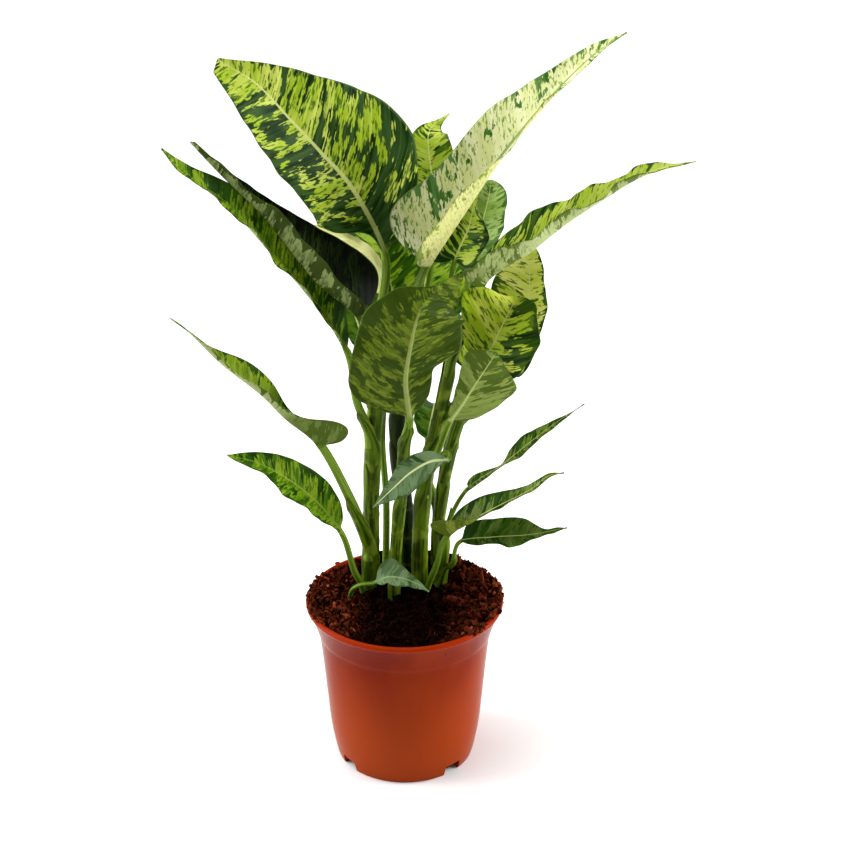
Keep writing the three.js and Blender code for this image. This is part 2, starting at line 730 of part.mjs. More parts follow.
// The soil fills the pot from the floor to its lumpy top, and each cane stands in a plain hole.
function soilGeometry() {
  const ring = (radius, height) => {
    const points = [];
    for (let side = 0; side < SOIL_SIDES; side += 1) {
      const angle = (2 * Math.PI * side) / SOIL_SIDES;
      const x = radius * Math.cos(angle);
      const y = radius * Math.sin(angle);
      points.push(new THREE.Vector3(x, y, height ?? soilHeight(x, y)));
    }
    return points;
  };
  const foot = FLOOR_TOP + CLEARANCE;
  const wallHeights = POT_WALL.slice(1, WALL_POINTS).map(([, z]) => z);
  const wallTop = wallHeights.pop();
  const sides = [foot, ...wallHeights].map((z) => ring(innerRadius(z) - 2 * CLEARANCE, z));
  const edge = ring(innerRadius(wallTop) - 2 * CLEARANCE);
  for (const point of edge) {
    const radius = innerRadius(Math.min(point.z, wallTop)) - 2 * CLEARANCE;
    const scale = radius / Math.hypot(point.x, point.y);
    point.set(point.x * scale, point.y * scale, point.z);
  }
  const top = [edge, ...SOIL_RINGS.map((radius) => ring(radius))];
  const centre = new THREE.Vector3(0, 0, soilHeight(0, 0));
  let soil = solidFrom(loft([...sides, ...top], new THREE.Vector3(0, 0, foot), centre));
  for (const name of Object.keys(CANES)) {
    soil = soil.subtract(solidFrom(caneGeometry(name, CLEARANCE)));
  }
  for (const leaf of leaves.values()) {
    if (leaf.foot) soil = soil.subtract(solidFrom(leafGeometry(leaf, CLEARANCE)));
  }
  return geometryFrom(soil);
}

// A cane with a socket for each stalk that leaves its side.
function socketedCane(name) {
  let cane = solidFrom(caneGeometry(name));
  for (const leaf of leaves.values()) {
    if (leaf.cane === name && leaf.height) cane = cane.subtract(solidFrom(leafGeometry(leaf, CLEARANCE)));
  }
  return geometryFrom(cane);
}

const leaves = new Map(Object.entries(LEAVES).map(([name, leaf]) => [name, { ...PLAIN_LEAF, ...leaf }]));
const plant = new THREE.Group();

function add(name, geometry, color, roughness) {
  const mesh = new THREE.Mesh(geometry, new THREE.MeshStandardMaterial({ color, roughness, metalness: 0 }));
  mesh.name = name;
  plant.add(mesh);
}

add("pot", potGeometry(), 0xa8452c, 0.45);
add("soil", soilGeometry(), 0x2b170f, 0.95);
for (const name of Object.keys(CANES)) add(name, socketedCane(name), 0x6f8a34, 0.5);
for (const [name, leaf] of leaves) add(name, leafGeometry(leaf), 0x5f9a2c, 0.4);

export default plant;
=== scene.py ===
# %% [markdown]
# A dieffenbachia in its nursery pot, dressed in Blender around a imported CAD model. The CAD model
# gives the place and size of every leaf and cane, of the soil and of the pot. This script keeps
# those places and puts a finer skin over each of them: leaves with thin waved blades and painted
# variegation, canes with rings and clasping sheaths, crumbly soil and a moulded pot. Lengths in
# the tables are millimetres, as on a drawing.

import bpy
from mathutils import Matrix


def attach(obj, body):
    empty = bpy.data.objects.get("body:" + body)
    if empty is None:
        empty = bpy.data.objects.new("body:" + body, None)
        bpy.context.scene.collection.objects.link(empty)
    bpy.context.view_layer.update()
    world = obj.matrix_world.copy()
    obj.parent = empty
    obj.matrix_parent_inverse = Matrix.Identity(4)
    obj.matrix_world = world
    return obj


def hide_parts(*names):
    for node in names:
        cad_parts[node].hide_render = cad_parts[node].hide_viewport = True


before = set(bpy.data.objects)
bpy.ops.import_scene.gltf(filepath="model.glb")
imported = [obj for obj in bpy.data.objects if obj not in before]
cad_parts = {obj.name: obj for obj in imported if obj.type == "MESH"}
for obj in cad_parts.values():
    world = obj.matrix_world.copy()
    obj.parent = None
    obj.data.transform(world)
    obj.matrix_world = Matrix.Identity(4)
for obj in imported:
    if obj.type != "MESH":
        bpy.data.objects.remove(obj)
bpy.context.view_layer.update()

import math

import bpy
import numpy as np

MM = 0.001
SEED = 11
print("nodes in the frame:", len(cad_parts))

# %% [markdown]
# The camera looks at the plant from the front and a little from above, as the photograph does.
# A lens is easiest to state as its focal length in pixels of the image: Blender wants it in
# millimetres of a 36 mm wide sensor, so the one is scaled to the other. Tilting the camera by
# its pitch only, with no roll and no turn, keeps the pot's axis upright in the picture.

# %% Camera
IMAGE_PIXELS = 851
FOCAL_PIXELS = 2026
SENSOR_WIDTH = 36
CAMERA_PITCH = 25.66
CAMERA_PLACE = (18, -1507.85, 1039.19)


def add_object(name, data):
    """An object that shows the given data, linked into the scene."""
    made = bpy.data.objects.new(name, data)
    bpy.context.collection.objects.link(made)
    return made


camera_data = bpy.data.cameras.new("camera")
camera_data.sensor_width = SENSOR_WIDTH
camera_data.lens = SENSOR_WIDTH * FOCAL_PIXELS / IMAGE_PIXELS
camera = add_object("camera", camera_data)
camera.location = [value * MM for value in CAMERA_PLACE]
camera.rotation_euler = (math.radians(90 - CAMERA_PITCH), 0, 0)
bpy.context.scene.camera = camera
print("lens:", round(camera_data.lens, 2), "mm")

# %% [markdown]
# Materials are built from nodes. A node tree is easier to read as one line for each node, so
# these helpers add a node, fill its inputs with numbers or with the outputs of other nodes,
# and hand back the output that the next line needs.

# %% Helpers for node trees
def add_node(tree, kind, inputs=None, **settings):
    """One node of the given kind. Each input is a number, a colour or another node's output."""
    made = tree.nodes.new(kind)
    for name, value in settings.items():
        setattr(made, name, value)
    for key, value in (inputs or {}).items():
        if isinstance(value, bpy.types.NodeSocket):
            tree.links.new(value, made.inputs[key])
        else:
            made.inputs[key].default_value = value
    return made


def calculate(tree, operation, *values):
    """The result of one sum on up to three values."""
    return add_node(tree, "ShaderNodeMath", dict(enumerate(values)), operation=operation).outputs[0]


def fade(tree, value, start, end, low=0.0, high=1.0):
    """A smooth step: low up to start, high from end on, and an S-shaped slope between."""
    inputs = {"Value": value, "From Min": start, "From Max": end, "To Min": low, "To Max": high}
    return add_node(tree, "ShaderNodeMapRange", inputs, interpolation_type="SMOOTHSTEP").outputs["Result"]


def blend(tree, share, first, second):
    """A colour that goes from the first to the second as share goes from 0 to 1."""
    return add_node(tree, "ShaderNodeMix", {0: share, 6: first, 7: second}, data_type="RGBA").outputs[2]


def cover(tree, paint, share, strength, tint):
    """The paint with a tint laid over it, at so much strength where share is 1."""
    return blend(tree, calculate(tree, "MULTIPLY", share, strength), paint, tint)


def grain(tree, vector, scale, shift=(0, 0, 0), detail=2.0, roughness=0.5):
    """Soft noise from 0 to 1, stretched: scale is how many lumps lie in a unit along each axis."""
    placed = add_node(tree, "ShaderNodeMapping", {"Vector": vector, "Scale": scale, "Location": shift})
    inputs = {"Vector": placed.outputs[0], "Scale": 1.0, "Detail": detail, "Roughness": roughness}
    return add_node(tree, "ShaderNodeTexNoise", inputs).outputs[0]


def attribute(tree, name):
    """A number that the mesh carries at each point."""
    return add_node(tree, "ShaderNodeAttribute", attribute_name=name).outputs["Fac"]


def new_material(name, roughness, specular):
    """A material with one principled shader, its tree and that shader."""
    material = bpy.data.materials.new(name)
    material.use_nodes = True
    shader = material.node_tree.nodes["Principled BSDF"]
    shader.inputs["Roughness"].default_value = roughness
    shader.inputs["Specular IOR Level"].default_value = specular
    return material, material.node_tree, shader


def bump(tree, shader, height, distance, strength):
    """Relief on the shader: height from 0 to 1 stands for so many metres."""
    made = add_node(tree, "ShaderNodeBump", {"Height": height, "Distance": distance, "Strength": strength})
    tree.links.new(made.outputs[0], shader.inputs["Normal"])


def colour(red, green, blue):
    """A colour given as it looks on a screen, from 0 to 255, in Blender's own linear light."""
    seen = np.array([red, green, blue]) / 255
    linear = np.where(seen <= 0.04045, seen / 12.92, ((seen + 0.055) / 1.055) ** 2.4)
    return (*linear, 1.0)


# %% [markdown]
# The studio is a wide white floor, an even sky, a broad light overhead and a soft lamp on each
# side. A sun lamp stands for the light overhead, because it lights the floor evenly however far
# away it is, and its wide angle keeps the shadows soft. The lamps at the sides put pale bands
# on the pot's flanks, and the white floor throws light up under the leaves.

# %% Floor, sky and lamps
FLOOR_HALF = 15.0
FLOOR_WHITE = (0.9, 0.9, 0.9, 1)
SKY_STRENGTH = 0.33
LAMPS = {"lamp_left": ((-1.9, 0.1, 0.9), 44), "lamp_right": ((1.9, 0.1, 0.9), 56)}
LAMP_SIZE = 1.3
LAMP_TARGET = (0, 0, 0.2)
SUN_STRENGTH = 2.65
SUN_WIDTH = 55
SUN_TILT = (-8, -16, 0)

floor_mesh = bpy.data.meshes.new("floor")
floor_corners = [(x * FLOOR_HALF, y * FLOOR_HALF, 0) for x, y in ((-1, -1), (1, -1), (1, 1), (-1, 1))]
floor_mesh.from_pydata(floor_corners, [], [(0, 1, 2, 3)])
floor = add_object("floor", floor_mesh)
floor_material, _, floor_shader = new_material("studio_floor", roughness=0.9, specular=0.1)
floor_shader.inputs["Base Color"].default_value = FLOOR_WHITE
floor_mesh.materials.append(floor_material)

world = bpy.data.worlds.new("studio")
world.use_nodes = True
world.node_tree.nodes["Background"].inputs["Color"].default_value = (1, 1, 1, 1)
world.node_tree.nodes["Background"].inputs["Strength"].default_value = SKY_STRENGTH
bpy.context.scene.world = world

for name, (place, power) in LAMPS.items():
    lamp = bpy.data.lights.new(name, "AREA")
    lamp.size = LAMP_SIZE
    lamp.energy = power
    holder = add_object(name, lamp)
    holder.location = place
    aim = np.array(LAMP_TARGET) - np.array(place)
    yaw = math.atan2(aim[1], aim[0]) - math.pi / 2
    pitch = math.atan2(math.hypot(aim[0], aim[1]), -aim[2])
    holder.rotation_euler = (pitch, 0, yaw)

sun = bpy.data.lights.new("light_above", "SUN")
sun.energy = SUN_STRENGTH
sun.angle = math.radians(SUN_WIDTH)
add_object("light_above", sun).rotation_euler = [math.radians(degrees) for degrees in SUN_TILT]
bpy.context.scene.view_settings.view_transform = "Standard"
print("floor and lamps in place")

# %% [markdown]
# Every shape here is a skin over rings of points. A ring is a row of points round a section, a
# stalk or a pot is a stack of rings, and the faces between two rings are always the same
# pattern, so they are worked out once with array sums. One point at each end closes the skin.
# Faces have to point outwards. The volume that a closed skin encloses, added up over its
# triangles, comes out negative when they point inwards, and then each face is turned round.
# Numbers that the material needs, such as how near a point is to the margin, are stored on the
# points, and flat coordinates go into a UV map.

# %% Helpers for meshes
def tube_faces(rows, columns):
    """Faces of a closed tube of rings: quads between rings, and fans to a point at each end."""
    row = np.arange(rows - 1)[:, None] * columns
    ring = np.arange(columns)
    after = (ring + 1) % columns
    quads = np.stack([row + ring, row + after, row + columns + after, row + columns + ring], -1)
    first, last = rows * columns, rows * columns + 1
    start = np.stack([np.full(columns, first), after, ring], -1)
    top = (rows - 1) * columns
    finish = np.stack([np.full(columns, last), top + ring, top + after], -1)
    return quads.reshape(-1, 4), np.vstack([start, finish])


def make_mesh(name, points, quads, triangles, layers=None, uv=None):
    """A smooth mesh from point and face arrays. Layers and uv hold values for each point."""
    mesh = bpy.data.meshes.new(name)
    fans = np.vstack([quads[:, [0, 1, 2]], quads[:, [0, 2, 3]], triangles])
    a, b, c = (points[fans[:, n]] for n in range(3))
    if (a * np.cross(b, c)).sum() < 0:
        quads, triangles = quads[:, ::-1], triangles[:, ::-1]
    corners = np.concatenate([quads.ravel(), triangles.ravel()]).astype(np.int32)
    sizes = np.concatenate([np.full(len(quads), 4), np.full(len(triangles), 3)]).astype(np.int32)
    mesh.vertices.add(len(points))
    mesh.vertices.foreach_set("co", np.asarray(points, dtype=np.float32).ravel())
    mesh.loops.add(len(corners))
    mesh.loops.foreach_set("vertex_index", corners)
    mesh.polygons.add(len(sizes))
    mesh.polygons.foreach_set("loop_start", np.concatenate([[0], np.cumsum(sizes)[:-1]]).astype(np.int32))
    mesh.polygons.foreach_set("loop_total", sizes)
    mesh.polygons.foreach_set("use_smooth", np.ones(len(sizes), dtype=bool))
    mesh.update(calc_edges=True)
    for layer, values in (layers or {}).items():
        stored = mesh.attributes.new(layer, "FLOAT", "POINT")
        stored.data.foreach_set("value", np.asarray(values, dtype=np.float32).ravel())
    for layer, values in (uv or {}).items():
        stored = mesh.uv_layers.new(name=layer)
        stored.data.foreach_set("uv", np.asarray(values, dtype=np.float32)[corners].ravel())
    mesh.validate()
    return mesh


def tube_mesh(name, rings, ends, layers=None, uv=None):
    """A closed skin from rings in millimetres and the two points that close its ends."""
    points = np.vstack([rings.reshape(-1, 3), ends]) * MM
    return make_mesh(name, points, *tube_faces(*rings.shape[:2]), layers, uv)


def make_piece(name, mesh, material, node_names):
    """An object for a finished piece: it rides on the part's one body and replaces its nodes."""
    piece = add_object(name, mesh)
    mesh.materials.append(material)
    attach(piece, "root")
    if node_names:
        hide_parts(*node_names)
    return piece


# %% [markdown]
# Canes and midribs are a few points each, with one smooth curve through them. The Catmull-Rom
# curve passes through each point and takes its direction there from the two neighbours, which is
# how the CAD model draws them too, so both versions run along one line. The other helpers measure
# along a line, read values off it and set rings of points round it.

# %% Curves through points
def smooth_curve(points, share):
    """Catmull-Rom curve: a cubic between neighbours, with one point added past each end in line."""
    p = np.asarray(points, float)
    p = np.vstack([2 * p[0] - p[1], p, 2 * p[-1] - p[-2]])
    place = np.clip(np.asarray(share, float), 0, 1) * (len(p) - 3)
    i = np.minimum(place.astype(int), len(p) - 4)
    f = (place - i)[..., None]
    a, b, c, d = p[i], p[i + 1], p[i + 2], p[i + 3]
    return 0.5 * (2 * b + (c - a) * f + (2 * a - 5 * b + 4 * c - d) * f**2 + (3 * b - a - 3 * c + d) * f**3)


def unit(vectors):
    """Vectors of length one in the same directions."""
    return vectors / np.linalg.norm(vectors, axis=-1, keepdims=True)


def directions(points):
    """The direction of travel at each point of a line, from its neighbours."""
    return unit(np.gradient(points, axis=0))


def squared_to(ahead, face):
    """The part of face that is square to ahead, with length one."""
    return unit(face - (face * ahead).sum(-1, keepdims=True) * ahead)


def smooth_step(f):
    """From 0 to 1 on an S-shaped curve: three times the square less twice the cube."""
    return f * f * (3 - 2 * f)


def along(values, share):
    """Values given at even steps from base to tip, blended by a smooth step between them."""
    values = np.asarray(values, float)
    place = np.asarray(share) * (len(values) - 1)
    i = np.clip(place.astype(int), 0, max(len(values) - 2, 0))
    f = smooth_step(np.clip(place - i, 0, 1))[:, None]
    return values[i] + (values[np.minimum(i + 1, len(values) - 1)] - values[i]) * f


def run_along(line):
    """How far along a line each of its points lies: the running sum of its steps."""
    return np.concatenate([[0], np.cumsum(np.linalg.norm(np.diff(line, axis=0), axis=1))])


def read_off(where, known, table):
    """Each column of a table, read where the known numbers reach the wanted ones."""
    return np.stack([np.interp(where, known, column) for column in table.T], -1)


def rings_about(line, right, up, out, lift):
    """Rings of points: a line's point, plus out along its right, plus lift along its up."""
    return line[..., None, :] + out[..., None] * right[..., None, :] + lift[..., None] * up[..., None, :]


# %% [markdown]
# The canes are the plant's trunks. Each is a line of points up its middle and a radius at its
# foot and its top. The leaves come in a table too. A leaf grows from a cane at a height, from a
# cane's top when no height is given, or from a foot in the soil. Then come the points of its
# stalk and of its midrib, where the upper face looks, how steeply the halves rise from the midrib
# and how much further they turn by the margin. The lists left and right give each half's width
# at even steps from base to tip, or half and shape give its greatest width and two powers. Lobe
# is how far the base reaches back past the stalk, wave is the margin's swing and how many times
# it swings, and stem is the stalk's radius at its foot and its top. The same values shape the CAD
# model's leaves. What a leaf leaves out it takes from the plain leaf. Most points of the stalks
# and midribs were picked by eye in the photograph and given a guessed depth, and a camera sum
# outside this script turned them into whole millimetres.

# %% The canes
CANES = {
    "cane_left": ([(-30, 30, 110), (-29, 28, 200), (-27, 25, 270), (-22, 24, 342), (-19, 24, 392)], (8, 5)),
    "cane_front": ([(-10, 14, 110), (-8, 10, 180), (-4, 2, 237), (0, -8, 290)], (5.8, 4.4)),
    "cane_right": ([(12, 34, 110), (14, 31, 207), (20, 27, 264), (28, 25, 305), (37, 25, 350)], (7.6, 5)),
    "cane_back_right": (
        [(26, 52, 110), (30, 51, 200), (38, 50, 261), (50, 53, 305), (60, 57, 345)], (5.6, 4.5),
    ),
    "cane_back": ([(4, 55, 110), (2, 57, 180), (-5, 58, 260), (-4, 58, 330), (6, 54, 390)], (8.5, 6.5)),
    "cane_small": ([(30, 25, 110), (31, 22, 160), (34, 15, 195)], (6.2, 4.6)),
}
print("canes:", len(CANES))

# %% The plain leaf, and the leaves at the top
PLAIN_LEAF = {
    "stalk": [],
    "rise": [(15, 15)],
    "cup": [(12, 12)],
    "shape": [(0.5, 0.95), (0.5, 0.95)],
    "lobe": 0.25,
    "wave": (2, 3),
    "stem": (3.4, 2.2),
}


def leaf(**values):
    """A leaf's values: those of the plain leaf, with the ones that are given put in."""
    return {**PLAIN_LEAF, **values}


LEAVES = {
    "leaf_top_left_broad": leaf(
        cane="cane_left",
        rib=[
            (-15, 39, 450), (-39, 27, 509), (-65, 15, 546),
            (-86, 5, 574), (-111, -8, 607), (-139, -15, 627),
        ],
        face=[(0.35, -0.9, 0.45), (0.25, -0.9, 0.5), (0.1, -0.8, 0.65)],
        left=[0, 12, 43, 58, 50, 45, 41, 29, 11], right=[0, 44, 62, 66, 58, 45, 31, 14, 2],
        rise=[(14, 12), (22, 8), (10, 20)], cup=[(25, -10), (15, -5), (10, 10)], lobe=0, wave=(2.5, 3),
        stem=(4.6, 3),
    ),
    "leaf_left_long_lower": leaf(
        cane="cane_left", height=285, stalk=[(-39, 9, 334)],
        rib=[
            (-45, -1, 381), (-68, -13, 428), (-102, -25, 477),
            (-133, -37, 520), (-160, -49, 547), (-179, -59, 572),
        ],
        face=[(0.6, -0.3, 0.75)], left=[0, 7, 8, 8, 8, 8, 10, 0], right=[0, 21, 25, 24, 21, 15, 9, 0],
        rise=[(20, 25)], cup=[(15, 15)], wave=(2.5, 4), stem=(4.2, 2.8),
    ),
    "leaf_left_long_upper": leaf(
        cane="cane_left", height=322, stalk=[(-29, 21, 365)],
        rib=[(-35, -7, 415), (-68, -17, 451), (-105, -25, 505), (-138, -35, 544), (-159, -43, 572)],
        face=[(0.7, -0.1, 0.7), (0.75, 0, 0.65), (0.8, 0.1, 0.6)], left=[0, 18, 20, 20, 18, 14, 10, 10, 6],
        right=[0, 44, 46, 34, 21, 14, 9, 6, 1], rise=[(62, 20), (62, 35), (60, 40)], cup=[(10, 20)],
        lobe=0.7, wave=(2.5, 4), stem=(4, 2.6),
    ),
    "leaf_left_inner": leaf(
        cane="cane_left", height=352, stalk=[(-16, 53, 385)],
        rib=[(-17, 69, 401), (-25, 83, 427), (-45, 87, 445), (-75, 87, 459)],
        face=[(0.5, -0.5, 0.6), (0.3, -0.6, 0.7), (0.1, -0.5, 0.85)], half=(24, 6), rise=[(15, 20)],
        cup=[(20, 20)], shape=[(0.5, 1), (0.5, 1)],
    ),
    "leaf_top_right_long": leaf(
        cane="cane_back",
        rib=[(19, 12, 451), (45, 7, 495), (75, 3, 543), (109, -5, 590), (142, -16, 629), (168, -25, 651)],
        face=[(-0.5, -0.7, 0.55), (-0.5, -0.65, 0.6), (-0.4, -0.6, 0.7)],
        left=[0, 52, 44, 37, 35, 25, 15, 9, 0], right=[0, 34, 34, 24, 12, 8, 7, 5, 0],
        rise=[(0, 78), (0, 60), (10, 50)], cup=[(15, 20), (15, 10), (10, 20)], lobe=0.5, wave=(2.5, 3),
        stem=(4.6, 3),
    ),
    "leaf_top_back": leaf(
        cane="cane_back", height=365, stalk=[(18, 75, 396)],
        rib=[(25, 85, 455), (23, 87, 502), (20, 95, 529), (24, 109, 537), (38, 121, 544)],
        face=[(0, -0.95, 0.3), (0, -0.95, 0.3), (0, -0.7, 0.7)], left=[0, 18, 24, 26, 24, 12, 3, 0],
        right=[0, 16, 20, 20, 20, 16, 6, 0], rise=[(5, 5), (5, 5), (10, 10)], cup=[(10, 10)], wave=(1, 3),
    ),
    "leaf_right_long": leaf(
        cane="cane_right",
        rib=[
            (63, 39, 422), (83, 33, 444), (102, 27, 459), (128, 17, 485),
            (155, 7, 508), (191, -2, 534), (228, -5, 544),
        ],
        face=[(-0.3, -0.35, 0.9), (-0.3, -0.3, 0.9), (-0.3, -0.2, 0.9)],
        left=[0, 30, 38, 34, 24, 18, 13, 7, 0], right=[0, 34, 32, 25, 18, 14, 12, 9, 0],
        rise=[(0, 62), (0, 48), (0, 35)], cup=[(8, 10), (8, 10), (8, 20)], lobe=0.5, wave=(3, 4),
        stem=(4.6, 3),
    ),
    "leaf_right_back_small": leaf(
        cane="cane_back_right", stalk=[(53, 83, 384)],
        rib=[(56, 95, 422), (65, 103, 452), (71, 109, 474), (73, 117, 488)],
        face=[(-0.3, -0.8, 0.5), (-0.3, -0.8, 0.5), (0, -0.6, 0.8)], half=(20, 24), rise=[(20, 20)],
        cup=[(10, 10)], shape=[(0.5, 0.6), (0.5, 0.6)], wave=(1, 3),
    ),
    "leaf_right_inner": leaf(
        cane="cane_back", height=300, stalk=[(30, 47, 380)],
        rib=[(42, 59, 436), (53, 61, 464), (57, 55, 485), (60, 45, 498)],
        face=[(-0.3, -0.85, 0.4), (-0.3, -0.85, 0.4), (-0.3, -0.7, 0.6)], half=(27, 24),
        rise=[(15, 20), (15, 20), (20, 20)], cup=[(10, 10)], shape=[(0.5, 0.7), (0.5, 0.7)], lobe=0.9,
        wave=(1, 3),
    ),
    "leaf_right_back": leaf(
        cane="cane_back_right", height=268, stalk=[(67, 67, 305)],
        rib=[(89, 77, 323), (102, 85, 366), (106, 87, 409), (100, 75, 457)],
        face=[(-0.35, -0.85, 0.4), (-0.3, -0.85, 0.5), (-0.2, -0.6, 0.8)], half=(34, 20),
        rise=[(15, 20), (15, 20), (20, 20)], cup=[(10, 10)], shape=[(0.5, 0.7), (0.5, 0.7)], wave=(1.5, 3),
    ),
}

# %% [markdown]
# The leaves in front hang over the pot. Two of them turn their undersides to the viewer, because
# their upper faces look to the back. Three of the lowest leaves grow from the soil, and one of
# these lies on it.

# %% The leaves in front and low down
LEAVES |= {
    "leaf_front_broad": leaf(
        cane="cane_front",
        rib=[
            (5, -27, 334), (2, -35, 372), (7, -39, 408), (12, -37, 429),
            (18, -33, 440), (29, -29, 450), (48, -21, 459),
        ],
        face=[(-0.1, 0.9, 0.35)], left=[0, 14, 20, 24, 38, 43, 42, 44, 47, 42, 0],
        right=[0, 22, 44, 45, 44, 43, 40, 26, 6, 2, 0], rise=[(-5, -5), (5, 5), (10, 10)], cup=[(10, 10)],
        lobe=0.1, wave=(3, 4), stem=(4.6, 3.2),
    ),
    "leaf_front_right": leaf(
        cane="cane_right", height=285, stalk=[(50, 21, 336)],
        rib=[(68, 17, 368), (78, 17, 391), (88, 25, 409), (95, 41, 413)],
        face=[(-0.3, -0.75, 0.55), (-0.3, -0.75, 0.55), (-0.2, -0.5, 0.8)],
        left=[0, 20, 29, 37, 41, 33, 15, 0], right=[0, 28, 38, 40, 34, 26, 13, 0],
        rise=[(15, 8), (15, 8), (20, 20)], cup=[(15, 10), (15, 10), (10, 10)], lobe=0.65,
    ),
    "leaf_front_right_small": leaf(
        cane="cane_right", height=235, stalk=[(29, 5, 290)],
        rib=[(38, -11, 324), (48, -15, 342), (57, -18, 359), (67, -21, 377), (75, -23, 391)],
        face=[(-0.1, 0.9, 0.35)], left=[0, 12, 20, 30, 38, 40, 37, 29, 20, 11, 0],
        right=[0, 4, 7, 9, 12, 14, 17, 19, 21, 17, 0], rise=[(5, 5), (5, 5), (10, 10)], cup=[(10, 10)],
        lobe=0.6, wave=(1.5, 3),
    ),
    "leaf_low_left_long": leaf(
        cane="cane_left", height=175, stalk=[(-45, -21, 259)],
        rib=[
            (-67, -31, 312), (-93, -39, 341), (-112, -45, 365),
            (-141, -53, 394), (-162, -61, 421), (-179, -65, 438),
        ],
        face=[(0.4, -0.3, 0.85), (0.4, -0.2, 0.85), (0.3, 0.3, 0.8)],
        left=[0, 34, 20, 11, 9, 8, 7, 6, 5, 4, 0], right=[0, 5, 6, 8, 13, 15, 13, 8, 5, 3, 0],
        rise=[(75, 60), (60, 45), (40, 25)], cup=[(20, 10), (10, 10), (10, 10)], lobe=0.5, wave=(1.5, 3),
        stem=(5, 3.2),
    ),
    "leaf_low_left": leaf(
        foot=(-36, 14), stalk=[(-43, -7, 182)],
        rib=[(-53, -15, 223), (-79, -25, 264), (-113, -37, 296), (-142, -47, 311)],
        face=[(0.3, -0.5, 0.8), (0.2, -0.5, 0.85), (0.1, -0.3, 0.95)],
        left=[0, 10, 17, 23, 25, 24, 20, 12, 0], right=[0, 14, 19, 20, 19, 16, 12, 7, 0],
        rise=[(20, 15), (20, 12), (20, 12)], cup=[(20, 10), (10, 10), (10, 10)], wave=(1.5, 3),
    ),
    "leaf_low_front": leaf(
        cane="cane_front", height=240, stalk=[(12, -12, 268), (33, -13, 296)],
        rib=[(37, -27, 297), (22, -35, 299), (6, -39, 291), (-8, -41, 278), (-25, -41, 260)],
        face=[(0, -0.7, 0.7)], left=[0, 5, 10, 14, 15, 13, 9, 4, 0], right=[0, 6, 10, 12, 11, 8, 6, 3, 0],
        rise=[(10, 10)], cup=[(10, 10)], wave=(1, 3), stem=(2.4, 1.7),
    ),
    "leaf_at_soil_front": leaf(
        foot=(-47, 4), stalk=[(-39, -13, 170)],
        rib=[(-26, -19, 176), (-14, -23, 184), (-1, -27, 185), (12, -32, 182), (21, -37, 178)],
        face=[(0, -0.5, 0.85), (0, -0.5, 0.85), (0.2, -0.6, 0.7)], left=[0, 8, 17, 12, 7, 4, 2, 0],
        right=[0, 5, 8, 10, 9, 6, 3, 0], rise=[(10, 10)], cup=[(10, 10)], wave=(1, 3), stem=(2.2, 1.6),
    ),
    "leaf_low_right_upper": leaf(
        cane="cane_small",
        rib=[(52, -1, 255), (82, -12, 285), (103, -21, 309), (125, -27, 331), (146, -33, 350)],
        face=[(-0.3, -0.1, 0.95), (-0.3, -0.2, 0.9), (-0.3, -0.2, 0.9)],
        left=[0, 8, 6, 2, 8, 12, 10, 6, 3, 1, 0], right=[0, 8, 6, 3, 7, 11, 10, 7, 3, 1, 0], rise=[(15, 5)],
        cup=[(10, 10)], lobe=1, wave=(1, 3), stem=(2.6, 1.7),
    ),
    "leaf_low_right_middle": leaf(
        foot=(19, 12), stalk=[(27, 1, 181)],
        rib=[
            (36, -15, 219), (62, -27, 244), (83, -35, 261),
            (103, -43, 277), (117, -48, 292), (130, -51, 297),
        ],
        face=[(-0.1, -0.35, 0.95)], left=[0, 10, 17, 18, 15, 12, 9, 6, 4, 3, 0],
        right=[0, 22, 16, 6, 4, 4, 4, 4, 3, 2, 0], rise=[(12, 95), (12, 40), (12, 12)], cup=[(10, 10)],
        lobe=0.5, wave=(1, 3), stem=(3.4, 2.3),
    ),
    "leaf_low_right_lower": leaf(
        cane="cane_small", height=150, stalk=[(41, 12, 178)],
        rib=[(47, -5, 208), (74, -17, 219), (105, -29, 228), (135, -39, 240)],
        face=[(0, -0.45, 0.9), (0, -0.45, 0.9), (0, -0.3, 0.95)],
        left=[0, 13, 17, 17, 17, 17, 15, 9, 3, 3, 0], right=[0, 5, 9, 10, 10, 14, 14, 8, 3, 3, 0],
        rise=[(12, 12)], cup=[(10, 10)], wave=(1, 3), stem=(2.6, 1.7),
    ),
}

# %% [markdown]
# The leaves at the back are there so that the plant is whole from every side. Their widths are
# powers, since nothing tells more of them than their place.

